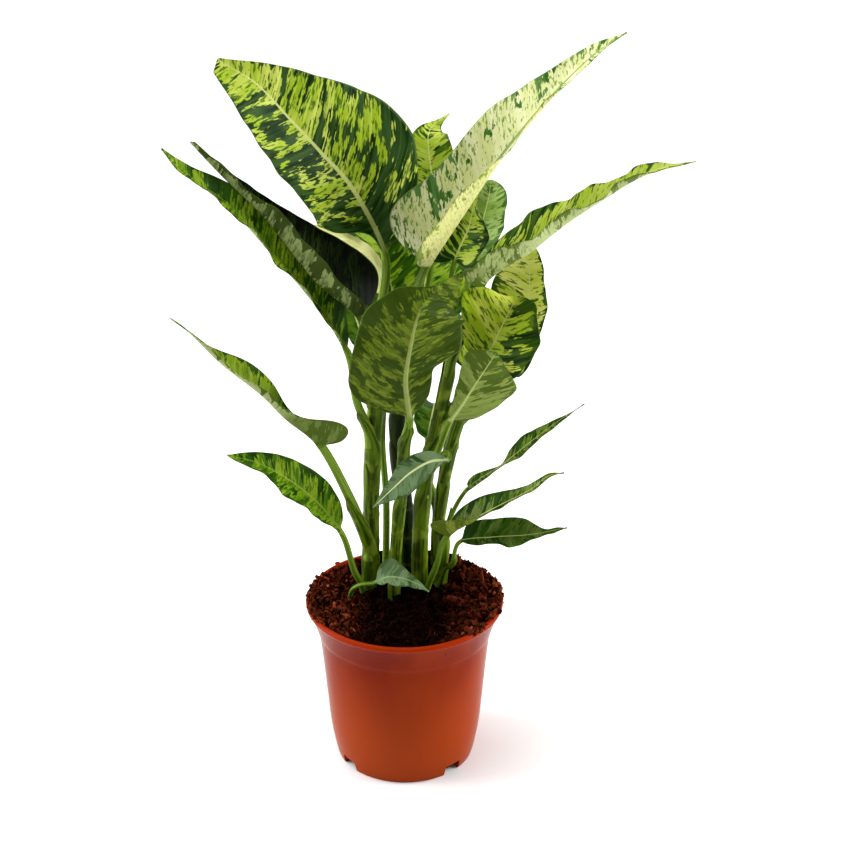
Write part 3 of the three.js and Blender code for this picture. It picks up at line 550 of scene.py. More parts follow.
# %% The leaves at the back
LEAVES |= {
    "leaf_back_left": leaf(
        cane="cane_back", height=328, stalk=[(-5, 87, 363)],
        rib=[(-10, 109, 386), (-28, 137, 449), (-56, 165, 498), (-91, 195, 527)],
        face=[(0.2, -0.6, 0.8), (0.2, -0.5, 0.85), (0.1, -0.3, 0.95)], half=(42, 42),
    ),
    "leaf_back_middle": leaf(
        cane="cane_back", height=272, stalk=[(6, 95, 341)],
        rib=[(13, 124, 355), (20, 172, 392), (23, 225, 409), (24, 275, 401)],
        face=[(0, -0.6, 0.8), (0, -0.3, 0.95), (0, 0.1, 1)], half=(40, 52),
    ),
    "leaf_back_right": leaf(
        cane="cane_back_right", height=232, stalk=[(41, 85, 279)],
        rib=[(55, 109, 314), (80, 147, 333), (99, 190, 332), (113, 230, 311)],
        face=[(-0.2, -0.5, 0.85), (-0.2, -0.4, 0.9), (-0.1, -0.2, 1)], half=(28, 30),
    ),
    "leaf_back_low_left": leaf(
        foot=(-17, 45), stalk=[(-16, 46, 220), (-19, 53, 272)],
        rib=[(-17, 82, 298), (-10, 118, 306), (-4, 150, 302), (0, 182, 288)],
        face=[(0.2, -0.5, 0.85), (0.2, -0.4, 0.9), (0.1, -0.2, 1)], half=(18, 18),
    ),
    "leaf_back_low_right": leaf(
        cane="cane_back_right", height=192, stalk=[(19, 81, 232)],
        rib=[(20, 105, 250), (24, 145, 256), (26, 180, 250), (26, 215, 234)],
        face=[(-0.1, -0.5, 0.85), (0, -0.4, 0.9), (0, -0.2, 1)], half=(16, 18),
    ),
    "leaf_back_side": leaf(
        cane="cane_left", height=270, stalk=[(-29, 55, 312)],
        rib=[(-34, 84, 345), (-45, 118, 370), (-53, 152, 372), (-57, 186, 358)],
        face=[(0.3, -0.5, 0.85), (0.2, -0.4, 0.9), (0.1, -0.2, 1)], half=(20, 26),
    ),
}
print("leaves:", len(LEAVES))

# %% [markdown]
# A leaf's stalk has to come out of the right place. In the soil it goes straight down from its
# foot. On a cane's top it carries on in the cane's own direction. On a cane's side it starts
# within the cane, at the stated height, and leaves it upwards and towards the blade.

# %% Where a stalk starts
SOIL_TOP = 150
ROOT_DEPTH = 32
TOP_GAP = 0.3
TOP_STALK = 18
SOCKET_FROM_AXIS = 4.5
SIDE_STALK_RISE = 20


def cane_line(name, count=200):
    """Points up the middle of a cane, and the cane's radius at each."""
    axis, (lower, upper) = CANES[name]
    share = np.linspace(0, 1, count)
    return smooth_curve(axis, share), lower + (upper - lower) * share


def stalk_start(leaf):
    """The stalk's first two points: in the soil, on a cane's top, or in a cane's side."""
    if "foot" in leaf:
        x, y = leaf["foot"]
        return [(x, y, SOIL_TOP - ROOT_DEPTH), (x, y, SOIL_TOP)]
    line, radius = cane_line(leaf["cane"])
    if "height" not in leaf:
        ahead = unit(line[-1] - line[-2])
        return [line[-1] + TOP_GAP * ahead, line[-1] + (TOP_GAP + TOP_STALK) * ahead]
    middle = read_off(leaf["height"], line[:, 2], line)
    thick = np.interp(leaf["height"], line[:, 2], radius)
    outward = np.array([*leaf["stalk"], *leaf["rib"]][0]) - middle
    outward = unit(outward * (1, 1, 0))
    return [middle + SOCKET_FROM_AXIS * outward, middle + (thick + 1) * outward + (0, 0, SIDE_STALK_RISE)]


print("top of the left cane:", cane_line("cane_left")[0][-1], "mm")


# %% [markdown]
# The blade is one function of two numbers. One runs along the midrib from base to tip, the other
# across from the midrib to a margin. Across, each half sets off flat at the midrib, rises within
# a few millimetres to its angle, and keeps turning up to the margin, so its height and reach are
# running sums of the sine and cosine of that angle. A leaf seen whole in the photograph has its
# half-widths written down at even steps from base to tip, and a smooth curve joins them. Another
# leaf's width is a power of the distance from the base times a power of the distance from the
# tip, which gives a lobed base and a drawn out tip. Waves grow with the square of the distance
# from the midrib. A second sheet of points below the first, set deeper at the midrib, makes the
# keel and closes the skin.

# %% A leaf's width and its upper sheet
BLADE_HALF_THICKNESS = 0.35
LEAST_WIDTH = 0.8
KEEL_ROUNDING = 3.0
VEIN_SPACING = 9.0
VEIN_DEPTH = 0.28
SWEEP = 0.42
LOBE_REACH = 1.6


def half_width(leaf, side, u):
    """A half's width: a smooth curve through given widths, or u to one power times 1 - u to another."""
    given = leaf.get(("left", "right")[side])
    if given:
        return np.maximum(smooth_curve(np.array(given, float)[:, None], u)[:, 0], LEAST_WIDTH)
    a, b = leaf["shape"][side]
    peak = (a / (a + b)) ** a * (b / (a + b)) ** b
    return leaf["half"][side] * u**a * (1 - u) ** b / peak


def half_blade(leaf, side, u, v, line, length):
    """One half's upper sheet: places, normals, and its flat coordinates along and across."""
    origin, ahead, up = line
    right, sign = np.cross(ahead, up), (-1, 1)[side]
    rise = np.radians(along(leaf["rise"], u))[:, side, None]
    cup = np.radians(along(leaf["cup"], u))[:, side, None]
    width = half_width(leaf, side, u)[:, None]
    d = width * v
    angle = rise * (1 - np.exp(-((d / KEEL_ROUNDING) ** 2))) + cup * v
    steps = np.diff(v) * width
    middle = (angle[:, 1:] + angle[:, :-1]) / 2
    zero = np.zeros((len(u), 1))
    out = np.hstack([zero, np.cumsum(steps * np.cos(middle), 1)])
    lift = np.hstack([zero, np.cumsum(steps * np.sin(middle), 1)])

    # The relief is the margin's slow and quick waves and a soft ridge between two side veins.
    turns = 2 * np.pi * (leaf["wave"][1] * u[:, None] + 0.3 * side)
    swell = leaf["wave"][0] * v**2 * np.sqrt(np.sin(np.pi * u))[:, None]
    ruffle = swell * (np.sin(turns) + 0.25 * np.sin(2.6 * turns + 1))
    back = LOBE_REACH * leaf["lobe"] * (1 - u[:, None]) ** 5 * v**1.5 * width
    sweep = SWEEP * width * v**1.6 * (u * (1 - u))[:, None]
    s = u[:, None] * length + sweep - back - 0.5 * d - 0.0035 * d**2
    pillow = VEIN_DEPTH * np.cos(2 * np.pi * (s / VEIN_SPACING + 0.5 * side)) * np.clip(d / 8, 0, 1)
    relief = ruffle + pillow * np.clip((width - d) / 6, 0, 1)
    out = out - relief * np.sin(angle)
    lift = lift + relief * np.cos(angle)
    place = rings_about(origin, right, up, sign * out, lift) + (sweep - back)[..., None] * ahead[:, None]
    normal = np.cos(angle)[..., None] * up[:, None] - (sign * np.sin(angle))[..., None] * right[:, None]
    return place, normal, s, sign * d, sign * np.broadcast_to(v, d.shape)


middle_width = sum(half_width(LEAVES["leaf_top_left_broad"], side, np.array([0.5])) for side in (0, 1))
print("the top left leaf is", middle_width.round(1), "mm wide half way along")


# %% A blade's rings
def blade_rings(leaf, u, line, length, columns):
    """Rings of the blade: its upper sheet from left to right, then its lower sheet back again."""
    v = np.concatenate([np.linspace(0, 0.96, columns), [1.0]]) ** 1.15
    halves = [half_blade(leaf, side, u, v, line, length) for side in (0, 1)]
    sheet = [np.concatenate([left[:, :0:-1], rest], axis=1) for left, rest in zip(*halves)]
    place, normal, s, d, across = sheet
    keel = np.maximum(leaf["stem"][1] * (1 - u) ** 0.8, BLADE_HALF_THICKNESS)[:, None]
    below = BLADE_HALF_THICKNESS + (keel - BLADE_HALF_THICKNESS) * np.exp(-((d / (0.8 * keel + 0.4)) ** 2))
    edge = np.where(np.abs(across) > 0.999, 0.35, 1.0)
    upper = place + (BLADE_HALF_THICKNESS * edge)[..., None] * normal
    lower = place - (below * edge)[..., None] * normal
    there_and_back = [np.concatenate([values, values[:, ::-1]], axis=1) for values in (s, d, np.abs(across))]
    return np.concatenate([upper, lower[:, ::-1]], axis=1), *there_and_back


# %% [markdown]
# The stalk and the blade share one skin, as they do on the plant. The stalk's rings are round
# with a groove on top, and have as many points as the blade's. The blade's first rings melt from
# round to flat over nine millimetres. Each point keeps how far up the leaf it is, how near the
# margin, and whether it is on the underside.

# %% Stalk and blade in one skin
ROW_STEP = 1.6
COLUMN_STEP = 2.2
STALK_STEP = 3.0
BURIED_STALK = 14.0
MELT_LENGTH = 9
GROOVE_DEPTH = 0.22


def steady_frames(line, last_up):
    """Up directions along a line that turn as little as can be, worked back from its end."""
    ahead = directions(line)
    ups = np.empty_like(line)
    up = last_up
    for i in range(len(line) - 1, -1, -1):
        up = squared_to(ahead[i], up)
        ups[i] = up
    return ahead, ups


def stalk_line(leaf, points, base):
    """Points along the stalk, and on into the cane where it stands on a cane's top."""
    stalk_length = run_along(smooth_curve(points, np.linspace(0, base, 60)))[-1]
    low = smooth_curve(points, np.linspace(0, base, max(int(stalk_length / STALK_STEP), 6)))
    if "foot" in leaf or "height" in leaf:
        return low
    return np.vstack([low[0] - BURIED_STALK * unit(low[1] - low[0]), low])


def leaf_mesh(name, leaf):
    """Stalk and blade in one skin, with the blade's own flat coordinates stored on it."""
    stalk = [*stalk_start(leaf), *leaf["stalk"]]
    points = [*stalk, *leaf["rib"]]
    base = len(stalk) / (len(points) - 1)
    fine = smooth_curve(points, np.linspace(base, 1, 800))
    run = run_along(fine)
    length = run[-1]
    t = np.linspace(0, 1, int(length / ROW_STEP))
    u = 0.002 + 0.995 * (0.6 * t + 0.2 * (1 - np.cos(np.pi * t)))
    origin = read_off(u * length, run, fine)
    ahead = unit(read_off(u * length, run, directions(fine)))
    up = squared_to(ahead, along(leaf["face"], u))
    widest = max(half_width(leaf, 0, u).max(), half_width(leaf, 1, u).max())
    columns = int(np.clip(widest / COLUMN_STEP, 9, 22))
    rings, s, d, across = blade_rings(leaf, u, (origin, ahead, up), length, columns)
    in_ring = rings.shape[1]

    # The stalk's round rings start at the same corner as the blade's, and run into them.
    turn = np.pi - (np.arange(in_ring) + 0.5) * np.pi / (in_ring / 2)
    low = stalk_line(leaf, points, base)
    low_ahead, low_up = steady_frames(low, up[0])
    part = np.linspace(0, 1, len(low))[:, None]
    radius = leaf["stem"][0] + (leaf["stem"][1] - leaf["stem"][0]) * 0.8 * part
    groove = 1 - GROOVE_DEPTH * np.exp(-(((turn - np.pi / 2) / 0.45) ** 2)) * (0.3 + 0.7 * part)
    wide, tall = radius * np.cos(turn), radius * np.sin(turn) * groove
    tube = rings_about(low, np.cross(low_ahead, low_up), low_up, wide, tall)[:-1]
    round_ring = rings_about(origin, np.cross(ahead, up), up, wide[-1:], tall[-1:])
    melt = smooth_step(np.clip(u * length / MELT_LENGTH, 0, 1))[:, None, None]
    rings = round_ring * (1 - melt) + rings * melt
    tip = smooth_curve(points, np.array([1.0]))

    # Down the stalk the flat coordinate along the leaf goes on, below nought.
    low_run = run_along(low)[:-1] - run_along(low)[-1]
    station = np.concatenate([np.full(len(tube), -0.05), u])
    on_blade = np.zeros((len(station), in_ring))
    under = on_blade + (np.arange(in_ring) >= in_ring / 2)

    def ends(values, first, last):
        return np.concatenate([values.ravel(), [first, last]])

    layers = {
        "underside": ends(under, 0, 0),
        "station": ends(on_blade + station[:, None], -0.05, 1),
        "across": ends(np.vstack([on_blade[: len(tube)], across]), 0, 0),
    }
    s = np.vstack([on_blade[: len(tube)] + low_run[:, None], s])
    d = np.vstack([wide[:-1], d])
    flat = np.stack([ends(s, low_run[0], length), ends(d, 0, 0)], -1) * MM
    return tube_mesh(name, np.vstack([tube, rings]), np.vstack([low[:1], tip]), layers, {"veins": flat})


# %% [markdown]
# The leaf's colours are its charm: yellow-green to cream, splashed with dark green. On the plant
# the splashes follow the side veins, because each strip between two veins grows from its own few
# cells. So the noise that paints them is read in the leaf's own flat coordinates, the first of
# which stays the same along a side vein, and is stretched along the second. Patches come from a
# coarse noise with torn edges from a fine one, and flecks from the fine one alone. A slow noise
# crowds both together in some places, and each is cut off at a level that the look gives. The
# margin, the midrib's surroundings and the base can be pulled towards dark, or one half of the
# blade more than the other.

# %% Where a leaf is dark
CROWD_GRAIN = (22, 18, 1)
COARSE_GRAIN = (125, 30)
FINE_GRAIN = (430, 85)


def weighted(tree, *pairs):
    """The sum of several values, each times its weight."""
    total = 0.0
    for value, weight in pairs:
        total = calculate(tree, "MULTIPLY_ADD", value, weight, total)
    return total


def dark_places(tree, veins, beside, d, across, station, look):
    """How far each point is within a patch and within a fleck, from 0 to 1."""
    seed, spots = look["seed"], look["spots"]
    crowd = grain(tree, veins, CROWD_GRAIN, (seed * 2.3, seed * 0.7, seed), detail=1)
    scale = (COARSE_GRAIN[0], COARSE_GRAIN[1] * spots, 1)
    coarse = grain(tree, veins, scale, (seed * 3.7, seed * 1.3, seed), roughness=0.55)
    scale = (FINE_GRAIN[0], FINE_GRAIN[1] * spots, 1)
    fine = grain(tree, veins, scale, (seed * 1.9, seed * 5.1, seed), roughness=0.6)
    edge = fade(tree, across, 0.7, 1.0, 0, -look["edge"])
    heart = fade(tree, d, 0.0, 0.012, look["heart"], 0)
    lean = fade(tree, beside, -0.02, 0.02, look["lean"], -look["lean"])
    base = fade(tree, station, 0.0, look["base_end"], -look["base"], 0)
    pull = weighted(tree, (edge, 1.0), (heart, 1.0), (base, 1.0), (lean, 1.0))
    patch_field = weighted(tree, (coarse, 0.52), (fine, 0.22), (crowd, 0.26), (pull, 1.0))
    fleck_field = weighted(tree, (fine, 0.72), (coarse, 0.14), (crowd, 0.14), (pull, 0.6))
    patches = fade(tree, patch_field, look["patches"] - 0.012, look["patches"] + 0.014, 1, 0)
    flecks = fade(tree, fleck_field, look["flecks"] - 0.02, look["flecks"] + 0.02, 1, 0)
    return patches, flecks


# %% [markdown]
# The rest of the paint goes on in layers, one over another: lime and paler clouds, flecks,
# patches, a thin line along each side vein, a furrow between two, the margin, the midrib and the
# stalk. The underside has its own two colours, a dull one and a deeper one, laid in the same
# patches, because the splashes go right through a leaf. How much they hide the upper side's
# paint is the look's share called under.

# %% The leaf's finish
# How many lumps of each noise lie in a metre along the leaf and across it.
TONE_GRAIN = (60, 16, 1)
DEPTH_GRAIN = (150, 34, 1)
STALK_GRAIN = (9, 420, 1)
THREAD_GRAIN = (900, 25, 1)
LEAF_RELIEF = 0.00022


def leaf_material(name, look):
    """Paint and relief of one leaf, from its look: colours, how much is dark, and a seed."""
    material, tree, shader = new_material(name, roughness=0.46, specular=0.05)
    veins = add_node(tree, "ShaderNodeUVMap", uv_map="veins").outputs[0]
    parts = add_node(tree, "ShaderNodeSeparateXYZ", {0: veins})
    s, beside = parts.outputs[0], parts.outputs[1]
    d = calculate(tree, "ABSOLUTE", beside)
    station, across = attribute(tree, "station"), attribute(tree, "across")
    seed = look["seed"]
    patches, flecks = dark_places(tree, veins, beside, d, across, station, look)

    tone = grain(tree, veins, TONE_GRAIN, (seed, 4.0, 0))
    paint = blend(tree, fade(tree, tone, 0.36, 0.64), look["light"], look["lime"])
    paint = cover(tree, paint, flecks, 0.85, look["green"])
    depth = grain(tree, veins, DEPTH_GRAIN, (seed, 9.0, 3.0), detail=1)
    dark = blend(tree, fade(tree, depth, 0.36, 0.62), look["deep"], look["shade"])
    paint = blend(tree, patches, paint, dark)
    line = calculate(tree, "PINGPONG", s, VEIN_SPACING * MM / 2)
    paint = cover(tree, paint, fade(tree, line, 0.0, 0.0008, 1, 0), 0.07, look["lime"])
    furrow = fade(tree, line, 0.0012, 0.0036)
    paint = cover(tree, paint, furrow, look["furrow"], look["deep"])
    paint = cover(tree, paint, fade(tree, across, 0.975, 0.99), 0.7, look["margin"])

    rib_width = fade(tree, station, 0.0, 1.0, look["rib_width"] * MM, 0.25 * look["rib_width"] * MM)
    rib_share = fade(tree, calculate(tree, "DIVIDE", d, rib_width), 0.7, 1.25, 0.9, 0)
    rib_fade = fade(tree, station, look["rib_end"], look["rib_end"] + 0.2, 1, 0)
    rib_share = calculate(tree, "MULTIPLY", rib_share, rib_fade)
    rib_paint = blend(tree, fade(tree, station, 0.0, 0.3, 0.6, 0), look["rib"], look["stalk"])
    paint = blend(tree, rib_share, paint, rib_paint)
    stalk_share = fade(tree, station, 0.0, 0.05, 1, 0)
    stalk_tone = grain(tree, veins, STALK_GRAIN, (seed, 0, 0))
    stalk_paint = blend(tree, fade(tree, stalk_tone, 0.35, 0.65), look["stalk"], look["stalk_pale"])
    paint = blend(tree, stalk_share, paint, stalk_paint)

    below = blend(tree, patches, look["under_tint"], look["under_deep"])
    below = cover(tree, below, flecks, 0.5, look["under_deep"])
    below = cover(tree, below, furrow, look["furrow"], look["under_deep"])
    below = blend(tree, fade(tree, station, 0.2, 0.34, look["lobes"], 0), below, look["under_deep"])
    dulled = cover(tree, blend(tree, look["under"], paint, below), rib_share, 0.8, look["under_rib"])
    on_blade = calculate(tree, "SUBTRACT", 1.0, stalk_share)
    paint = blend(tree, calculate(tree, "MULTIPLY", attribute(tree, "underside"), on_blade), paint, dulled)
    tree.links.new(paint, shader.inputs["Base Color"])

    threads = calculate(tree, "MULTIPLY", grain(tree, veins, THREAD_GRAIN), 0.35)
    bump(tree, shader, calculate(tree, "ADD", threads, fade(tree, line, 0, 0.0016, 0, 1)), LEAF_RELIEF, 0.8)
    return material


# %% [markdown]
# Each leaf has a look of its own. Patches and flecks are the levels at which the noise is cut:
# at 0.5 half of the blade is dark, at 0.4 about a tenth. Spots above 1 make the splashes
# shorter. Colours are written as they look on a screen. Old leaves low on the plant are mostly
# dark, the top leaves are mostly lime, the long one at the top right is nearly all cream, and
# one on the left has its upper face painted near black, as painted shade for the deep shade it
# stands in. Looks that are shared come first.

# %% The looks
PLAIN_LOOK = {
    "light": (176, 192, 78), "lime": (150, 174, 42), "green": (60, 94, 12), "deep": (10, 40, 2),
    "shade": (56, 88, 16), "rib": (196, 204, 124), "margin": (70, 96, 20), "stalk": (62, 90, 8),
    "stalk_pale": (110, 136, 40), "under_tint": (92, 112, 26), "under_deep": (60, 80, 18),
    "under_rib": (168, 182, 108), "under": 0.5, "rib_width": 0.9, "rib_end": 0.85, "patches": 0.46,
    "flecks": 0.46, "edge": 0.08, "heart": 0.03, "base": 0.05, "base_end": 0.2, "spots": 1.4,
    "lobes": 0.0, "lean": 0.0, "furrow": 0.05,
}
OLIVE = {
    "light": (114, 130, 36), "lime": (92, 112, 16), "green": (56, 76, 6), "deep": (30, 50, 1),
    "shade": (50, 72, 8), "margin": (110, 124, 60), "furrow": 0.3, "under": 0.3,
}
DARK_LEAF = {
    "light": (134, 160, 34), "lime": (104, 136, 14), "green": (52, 90, 6), "deep": (24, 54, 1),
    "shade": (44, 80, 6), "patches": 0.52, "flecks": 0.5,
}
BLUE_LEAF = {
    "light": (104, 126, 88), "lime": (86, 110, 70), "green": (64, 90, 44), "deep": (46, 68, 30),
    "shade": (72, 94, 58), "rib": (212, 222, 156),
}
BACK_LEAF = {**DARK_LEAF, "light": (84, 112, 20), "lime": (60, 88, 8), "patches": 0.55}


def look(shared=None, **values):
    """A leaf's look: the plain one, then a shared one, then its own, with its colours made linear."""
    whole = {**PLAIN_LOOK, **(shared or {}), **values}
    return {key: colour(*value) if isinstance(value, tuple) else value for key, value in whole.items()}


LOOKS = {
    "leaf_top_left_broad": look(
        light=(186, 198, 88), lime=(148, 172, 36), shade=(46, 74, 30), patches=0.48, flecks=0.482,
        rib_width=2.2, rib=(190, 196, 120), lean=-0.004, base=0.11, base_end=0.5, edge=0.06,
    ),
    "leaf_left_long_lower": look(
        DARK_LEAF, patches=0.48, rib=(112, 134, 50), under=0.85, under_tint=(132, 146, 92),
        under_deep=(84, 104, 40), under_rib=(60, 90, 20),
    ),
    # Painted shade: the upper face's colours are near black for the deep shade inside this folded leaf.
    "leaf_left_long_upper": look(
        light=(46, 66, 10), lime=(22, 38, 3), green=(6, 16, 1), deep=(1, 5, 0), shade=(5, 14, 1),
        rib=(70, 90, 20), under=0.95, under_tint=(126, 140, 84), under_deep=(50, 66, 16),
        under_rib=(60, 80, 22), patches=0.5, flecks=0.52,
    ),
    "leaf_left_inner": look(
        light=(214, 214, 150), lime=(196, 198, 128), patches=0.34, flecks=0.35, under=0.2,
        rib=(206, 208, 140),
    ),
    "leaf_top_right_long": look(
        light=(224, 225, 176), lime=(202, 208, 138), green=(112, 142, 52), spots=2.6, deep=(50, 94, 24),
        shade=(90, 128, 66), patches=0.441, flecks=0.451, base=0.02, base_end=0.3, rib=(126, 150, 96),
        rib_width=2.0, margin=(110, 130, 66), under=0.9, under_tint=(192, 190, 122),
        under_deep=(124, 142, 56), under_rib=(126, 150, 96), edge=0.04, heart=0.02,
    ),
    "leaf_top_back": look(patches=0.465, flecks=0.47),
    "leaf_right_long": look(
        light=(178, 192, 84), lime=(154, 178, 44), patches=0.45, flecks=0.45, edge=0.06, rib_width=1.4,
        under=0.9, under_tint=(150, 162, 106), under_deep=(88, 106, 40), base=0.08, base_end=0.4,
    ),
    "leaf_right_back_small": look(
        light=(148, 172, 96), lime=(118, 148, 60), green=(80, 114, 34), deep=(50, 84, 18),
        shade=(84, 116, 58), patches=0.47, flecks=0.47,
    ),
    "leaf_right_inner": look(base=0.12, patches=0.455, flecks=0.46, lime=(136, 166, 20), edge=0.12),
    "leaf_right_back": look(
        patches=0.42, flecks=0.43, light=(212, 214, 112), lime=(182, 194, 66), edge=0.14,
    ),
    "leaf_front_broad": look(
        OLIVE, patches=0.49, flecks=0.5, rib_width=2.2, furrow=0.4, spots=1.9, under=0.6,
        under_tint=(98, 114, 30), under_deep=(50, 68, 8), under_rib=(140, 152, 84), rib=(140, 152, 84),
        rib_end=0.55,
    ),
    "leaf_front_right": look(
        patches=0.467, flecks=0.47, lean=0.04, light=(198, 208, 80), lime=(156, 182, 30),
    ),
    "leaf_front_right_small": look(
        OLIVE, light=(126, 144, 74), lime=(110, 130, 56), green=(84, 104, 32), deep=(62, 82, 22), under=0.5,
        under_tint=(118, 134, 58), under_deep=(78, 96, 26), rib_width=1.3, rib=(170, 184, 112),
        patches=0.46, flecks=0.46, furrow=0.2,
    ),
    "leaf_low_left_long": look(
        DARK_LEAF, under=0.88, under_tint=(146, 156, 104), under_deep=(70, 88, 24), lime=(80, 104, 16),
        lobes=0.8, patches=0.47, flecks=0.46,
    ),
    "leaf_low_left": look(DARK_LEAF, patches=0.465, flecks=0.52, green=(58, 104, 8), rib=(140, 164, 60)),
    "leaf_low_front": look(BLUE_LEAF, rib_width=1.1, patches=0.45, flecks=0.45),
    "leaf_at_soil_front": look(BLUE_LEAF, rib_width=0.8, rib=(134, 156, 104), patches=0.47, flecks=0.46),
    "leaf_low_right_upper": look(
        DARK_LEAF, light=(126, 144, 70), lime=(94, 116, 28), rib_width=0.7, margin=(140, 150, 100),
        edge=0.0,
    ),
    "leaf_low_right_middle": look(
        DARK_LEAF, light=(122, 138, 70), lime=(84, 104, 30), rib_width=0.7, patches=0.5,
        margin=(150, 158, 118), under=0.9, under_tint=(112, 124, 44), under_deep=(78, 92, 22),
    ),
    "leaf_low_right_lower": look(
        DARK_LEAF, light=(96, 114, 50), lime=(58, 82, 18), rib_width=0.6, patches=0.52, edge=0.0,
        margin=(96, 114, 64),
    ),
    "leaf_back_left": look(DARK_LEAF, patches=0.5, flecks=0.49),
    "leaf_back_middle": look(DARK_LEAF, patches=0.5, flecks=0.49),
    "leaf_back_low_left": look(BACK_LEAF),
    "leaf_back_low_right": look(BACK_LEAF),
    "leaf_back_side": look(BACK_LEAF),
    "leaf_back_right": look(),
}
print("looks:", len(LOOKS))

# %% Make the leaves
for number, (name, values) in enumerate(LEAVES.items()):
    mesh = leaf_mesh(name + "_skin", values)
    finish = {**LOOKS[name], "seed": 1.7 * number + SEED}
    make_piece("dressed_" + name, mesh, leaf_material(name + "_finish", finish), [name])
    print(name, "faces:", len(mesh.polygons))

# %% [markdown]
# The canes are tubes too. A ring of the cane swells a little at each joint where an old leaf
# fell, with a thin scar line just above it. The finish is fresh green with long pale streaks.
# The cane at the back gets the same finish in much darker colours, as painted shade for the
# shade the leaves cast on it. It is read from flat coordinates that go round the cane and back
# again, so that it has no seam.

# %% The canes' finish
def cane_material(name, dark, fresh, pale):
    """Green with streaks along the cane, paler clouds and faint brownish rings at the joints."""
    material, tree, shader = new_material(name, roughness=0.45, specular=0.07)
    flat = add_node(tree, "ShaderNodeUVMap", uv_map="round").outputs[0]
    streak = fade(tree, grain(tree, flat, (8, 2.2, 1)), 0.36, 0.66)
    cloud = fade(tree, grain(tree, flat, (2, 5, 1), (4, 2, 0)), 0.52, 0.72, 0, 0.5)
    paint = blend(tree, cloud, blend(tree, streak, dark, fresh), pale)
    paint = cover(tree, paint, attribute(tree, "ring"), 0.35, colour(100, 96, 30))
    tree.links.new(paint, shader.inputs["Base Color"])
    bump(tree, shader, grain(tree, flat, (40, 6, 1)), 0.0002, 0.5)
    return material


cane_finish = cane_material("cane_finish", colour(36, 56, 1), colour(84, 108, 8), colour(136, 154, 44))
# Painted shade: the cane at the back is painted in these much darker colours for the leaves' shade.
painted_shade_finish = cane_material("painted_shade_cane_finish", colour(10, 22, 1), colour(30, 48, 3), colour(50, 68, 12))


def finish_of(cane):
    """The painted-shade finish for the cane at the back, and the fresh one for the others."""
    return painted_shade_finish if cane == "cane_back" else cane_finish


print("the canes' finishes:", cane_finish.name, "and", painted_shade_finish.name)


# %% The canes' shape
CANE_SIDES = 40
JOINT_SPACING = 27.0
JOINT_SWELL, JOINT_WAIST = 0.05, 0.03


def flat_coordinates(around, upwards, shift):
    """Flat coordinates of a tube: one number round each ring, one up the tube, its ends as rings."""
    flat = np.stack(np.broadcast_arrays(around, upwards[:, None]), -1).reshape(-1, 2)
    return np.vstack([flat, flat[:1], flat[-1:]]) + (shift, 0)


def cane_mesh(name, number):
    """A tube up the cane's line, swollen at each joint, with a rounded end under the top stalk."""
    line, radius = cane_line(name, 130)
    right = squared_to(directions(line), np.broadcast_to((1.0, 0, 0), line.shape))
    back = np.cross(directions(line), right)
    run = run_along(line)
    place = (run + 9 * number) / JOINT_SPACING
    offset = (place - np.round(place)) * JOINT_SPACING
    ring = np.exp(-((offset / 0.8) ** 2))
    swollen, drawn_in = np.exp(-((offset / 2.5) ** 2)), np.exp(-(((offset - 3) / 2) ** 2))
    radius = radius * (1 + JOINT_SWELL * swollen - JOINT_WAIST * drawn_in)
    from_top = np.clip((run[-1] - run) / 3, 0, 1)
    radius = (radius * np.sqrt(1 - 0.6 * (1 - from_top) ** 2))[:, None]
    angle = 2 * np.pi * np.arange(CANE_SIDES) / CANE_SIDES
    rings = rings_about(line, right, back, radius * np.cos(angle), radius * np.sin(angle))
    swell = np.concatenate([np.repeat(ring, CANE_SIDES), [0, 0]])
    flat = flat_coordinates(np.abs(angle / np.pi - 1), run * 0.01, 3.0 * number)
    return tube_mesh(name + "_skin", rings, line[[0, -1]], {"ring": swell}, {"round": flat})


for number, name in enumerate(CANES):
    make_piece("dressed_" + name, cane_mesh(name, number), finish_of(name), [name])
print("canes made:", len(CANES))

# %% [markdown]
# A leaf's stalk clasps its cane with a green sheath. It is a strip bent to most of a circle round
# the cane, below the leaf, and it opens and narrows into two low wings as it climbs from the
# cane's line onto the stalk's. One leaf low on the left has a longer sheath than the others.

# %% The sheaths
SHEATH_BELOW = 34
SHEATH_ABOVE = 40
LONG_SHEATHS = {"leaf_low_left_long": 88}
SHEATH_THICKNESS = 0.45
SHEATH_ROWS, SHEATH_COLUMNS = 44, 22
REACH_AT, REACH = [0, 0.35, 0.8, 1], [176, 160, 74, 6]
FLARE_AT, FLARE = [0, 0.4, 0.9, 1], [0, 0.2, 1, 1.3]


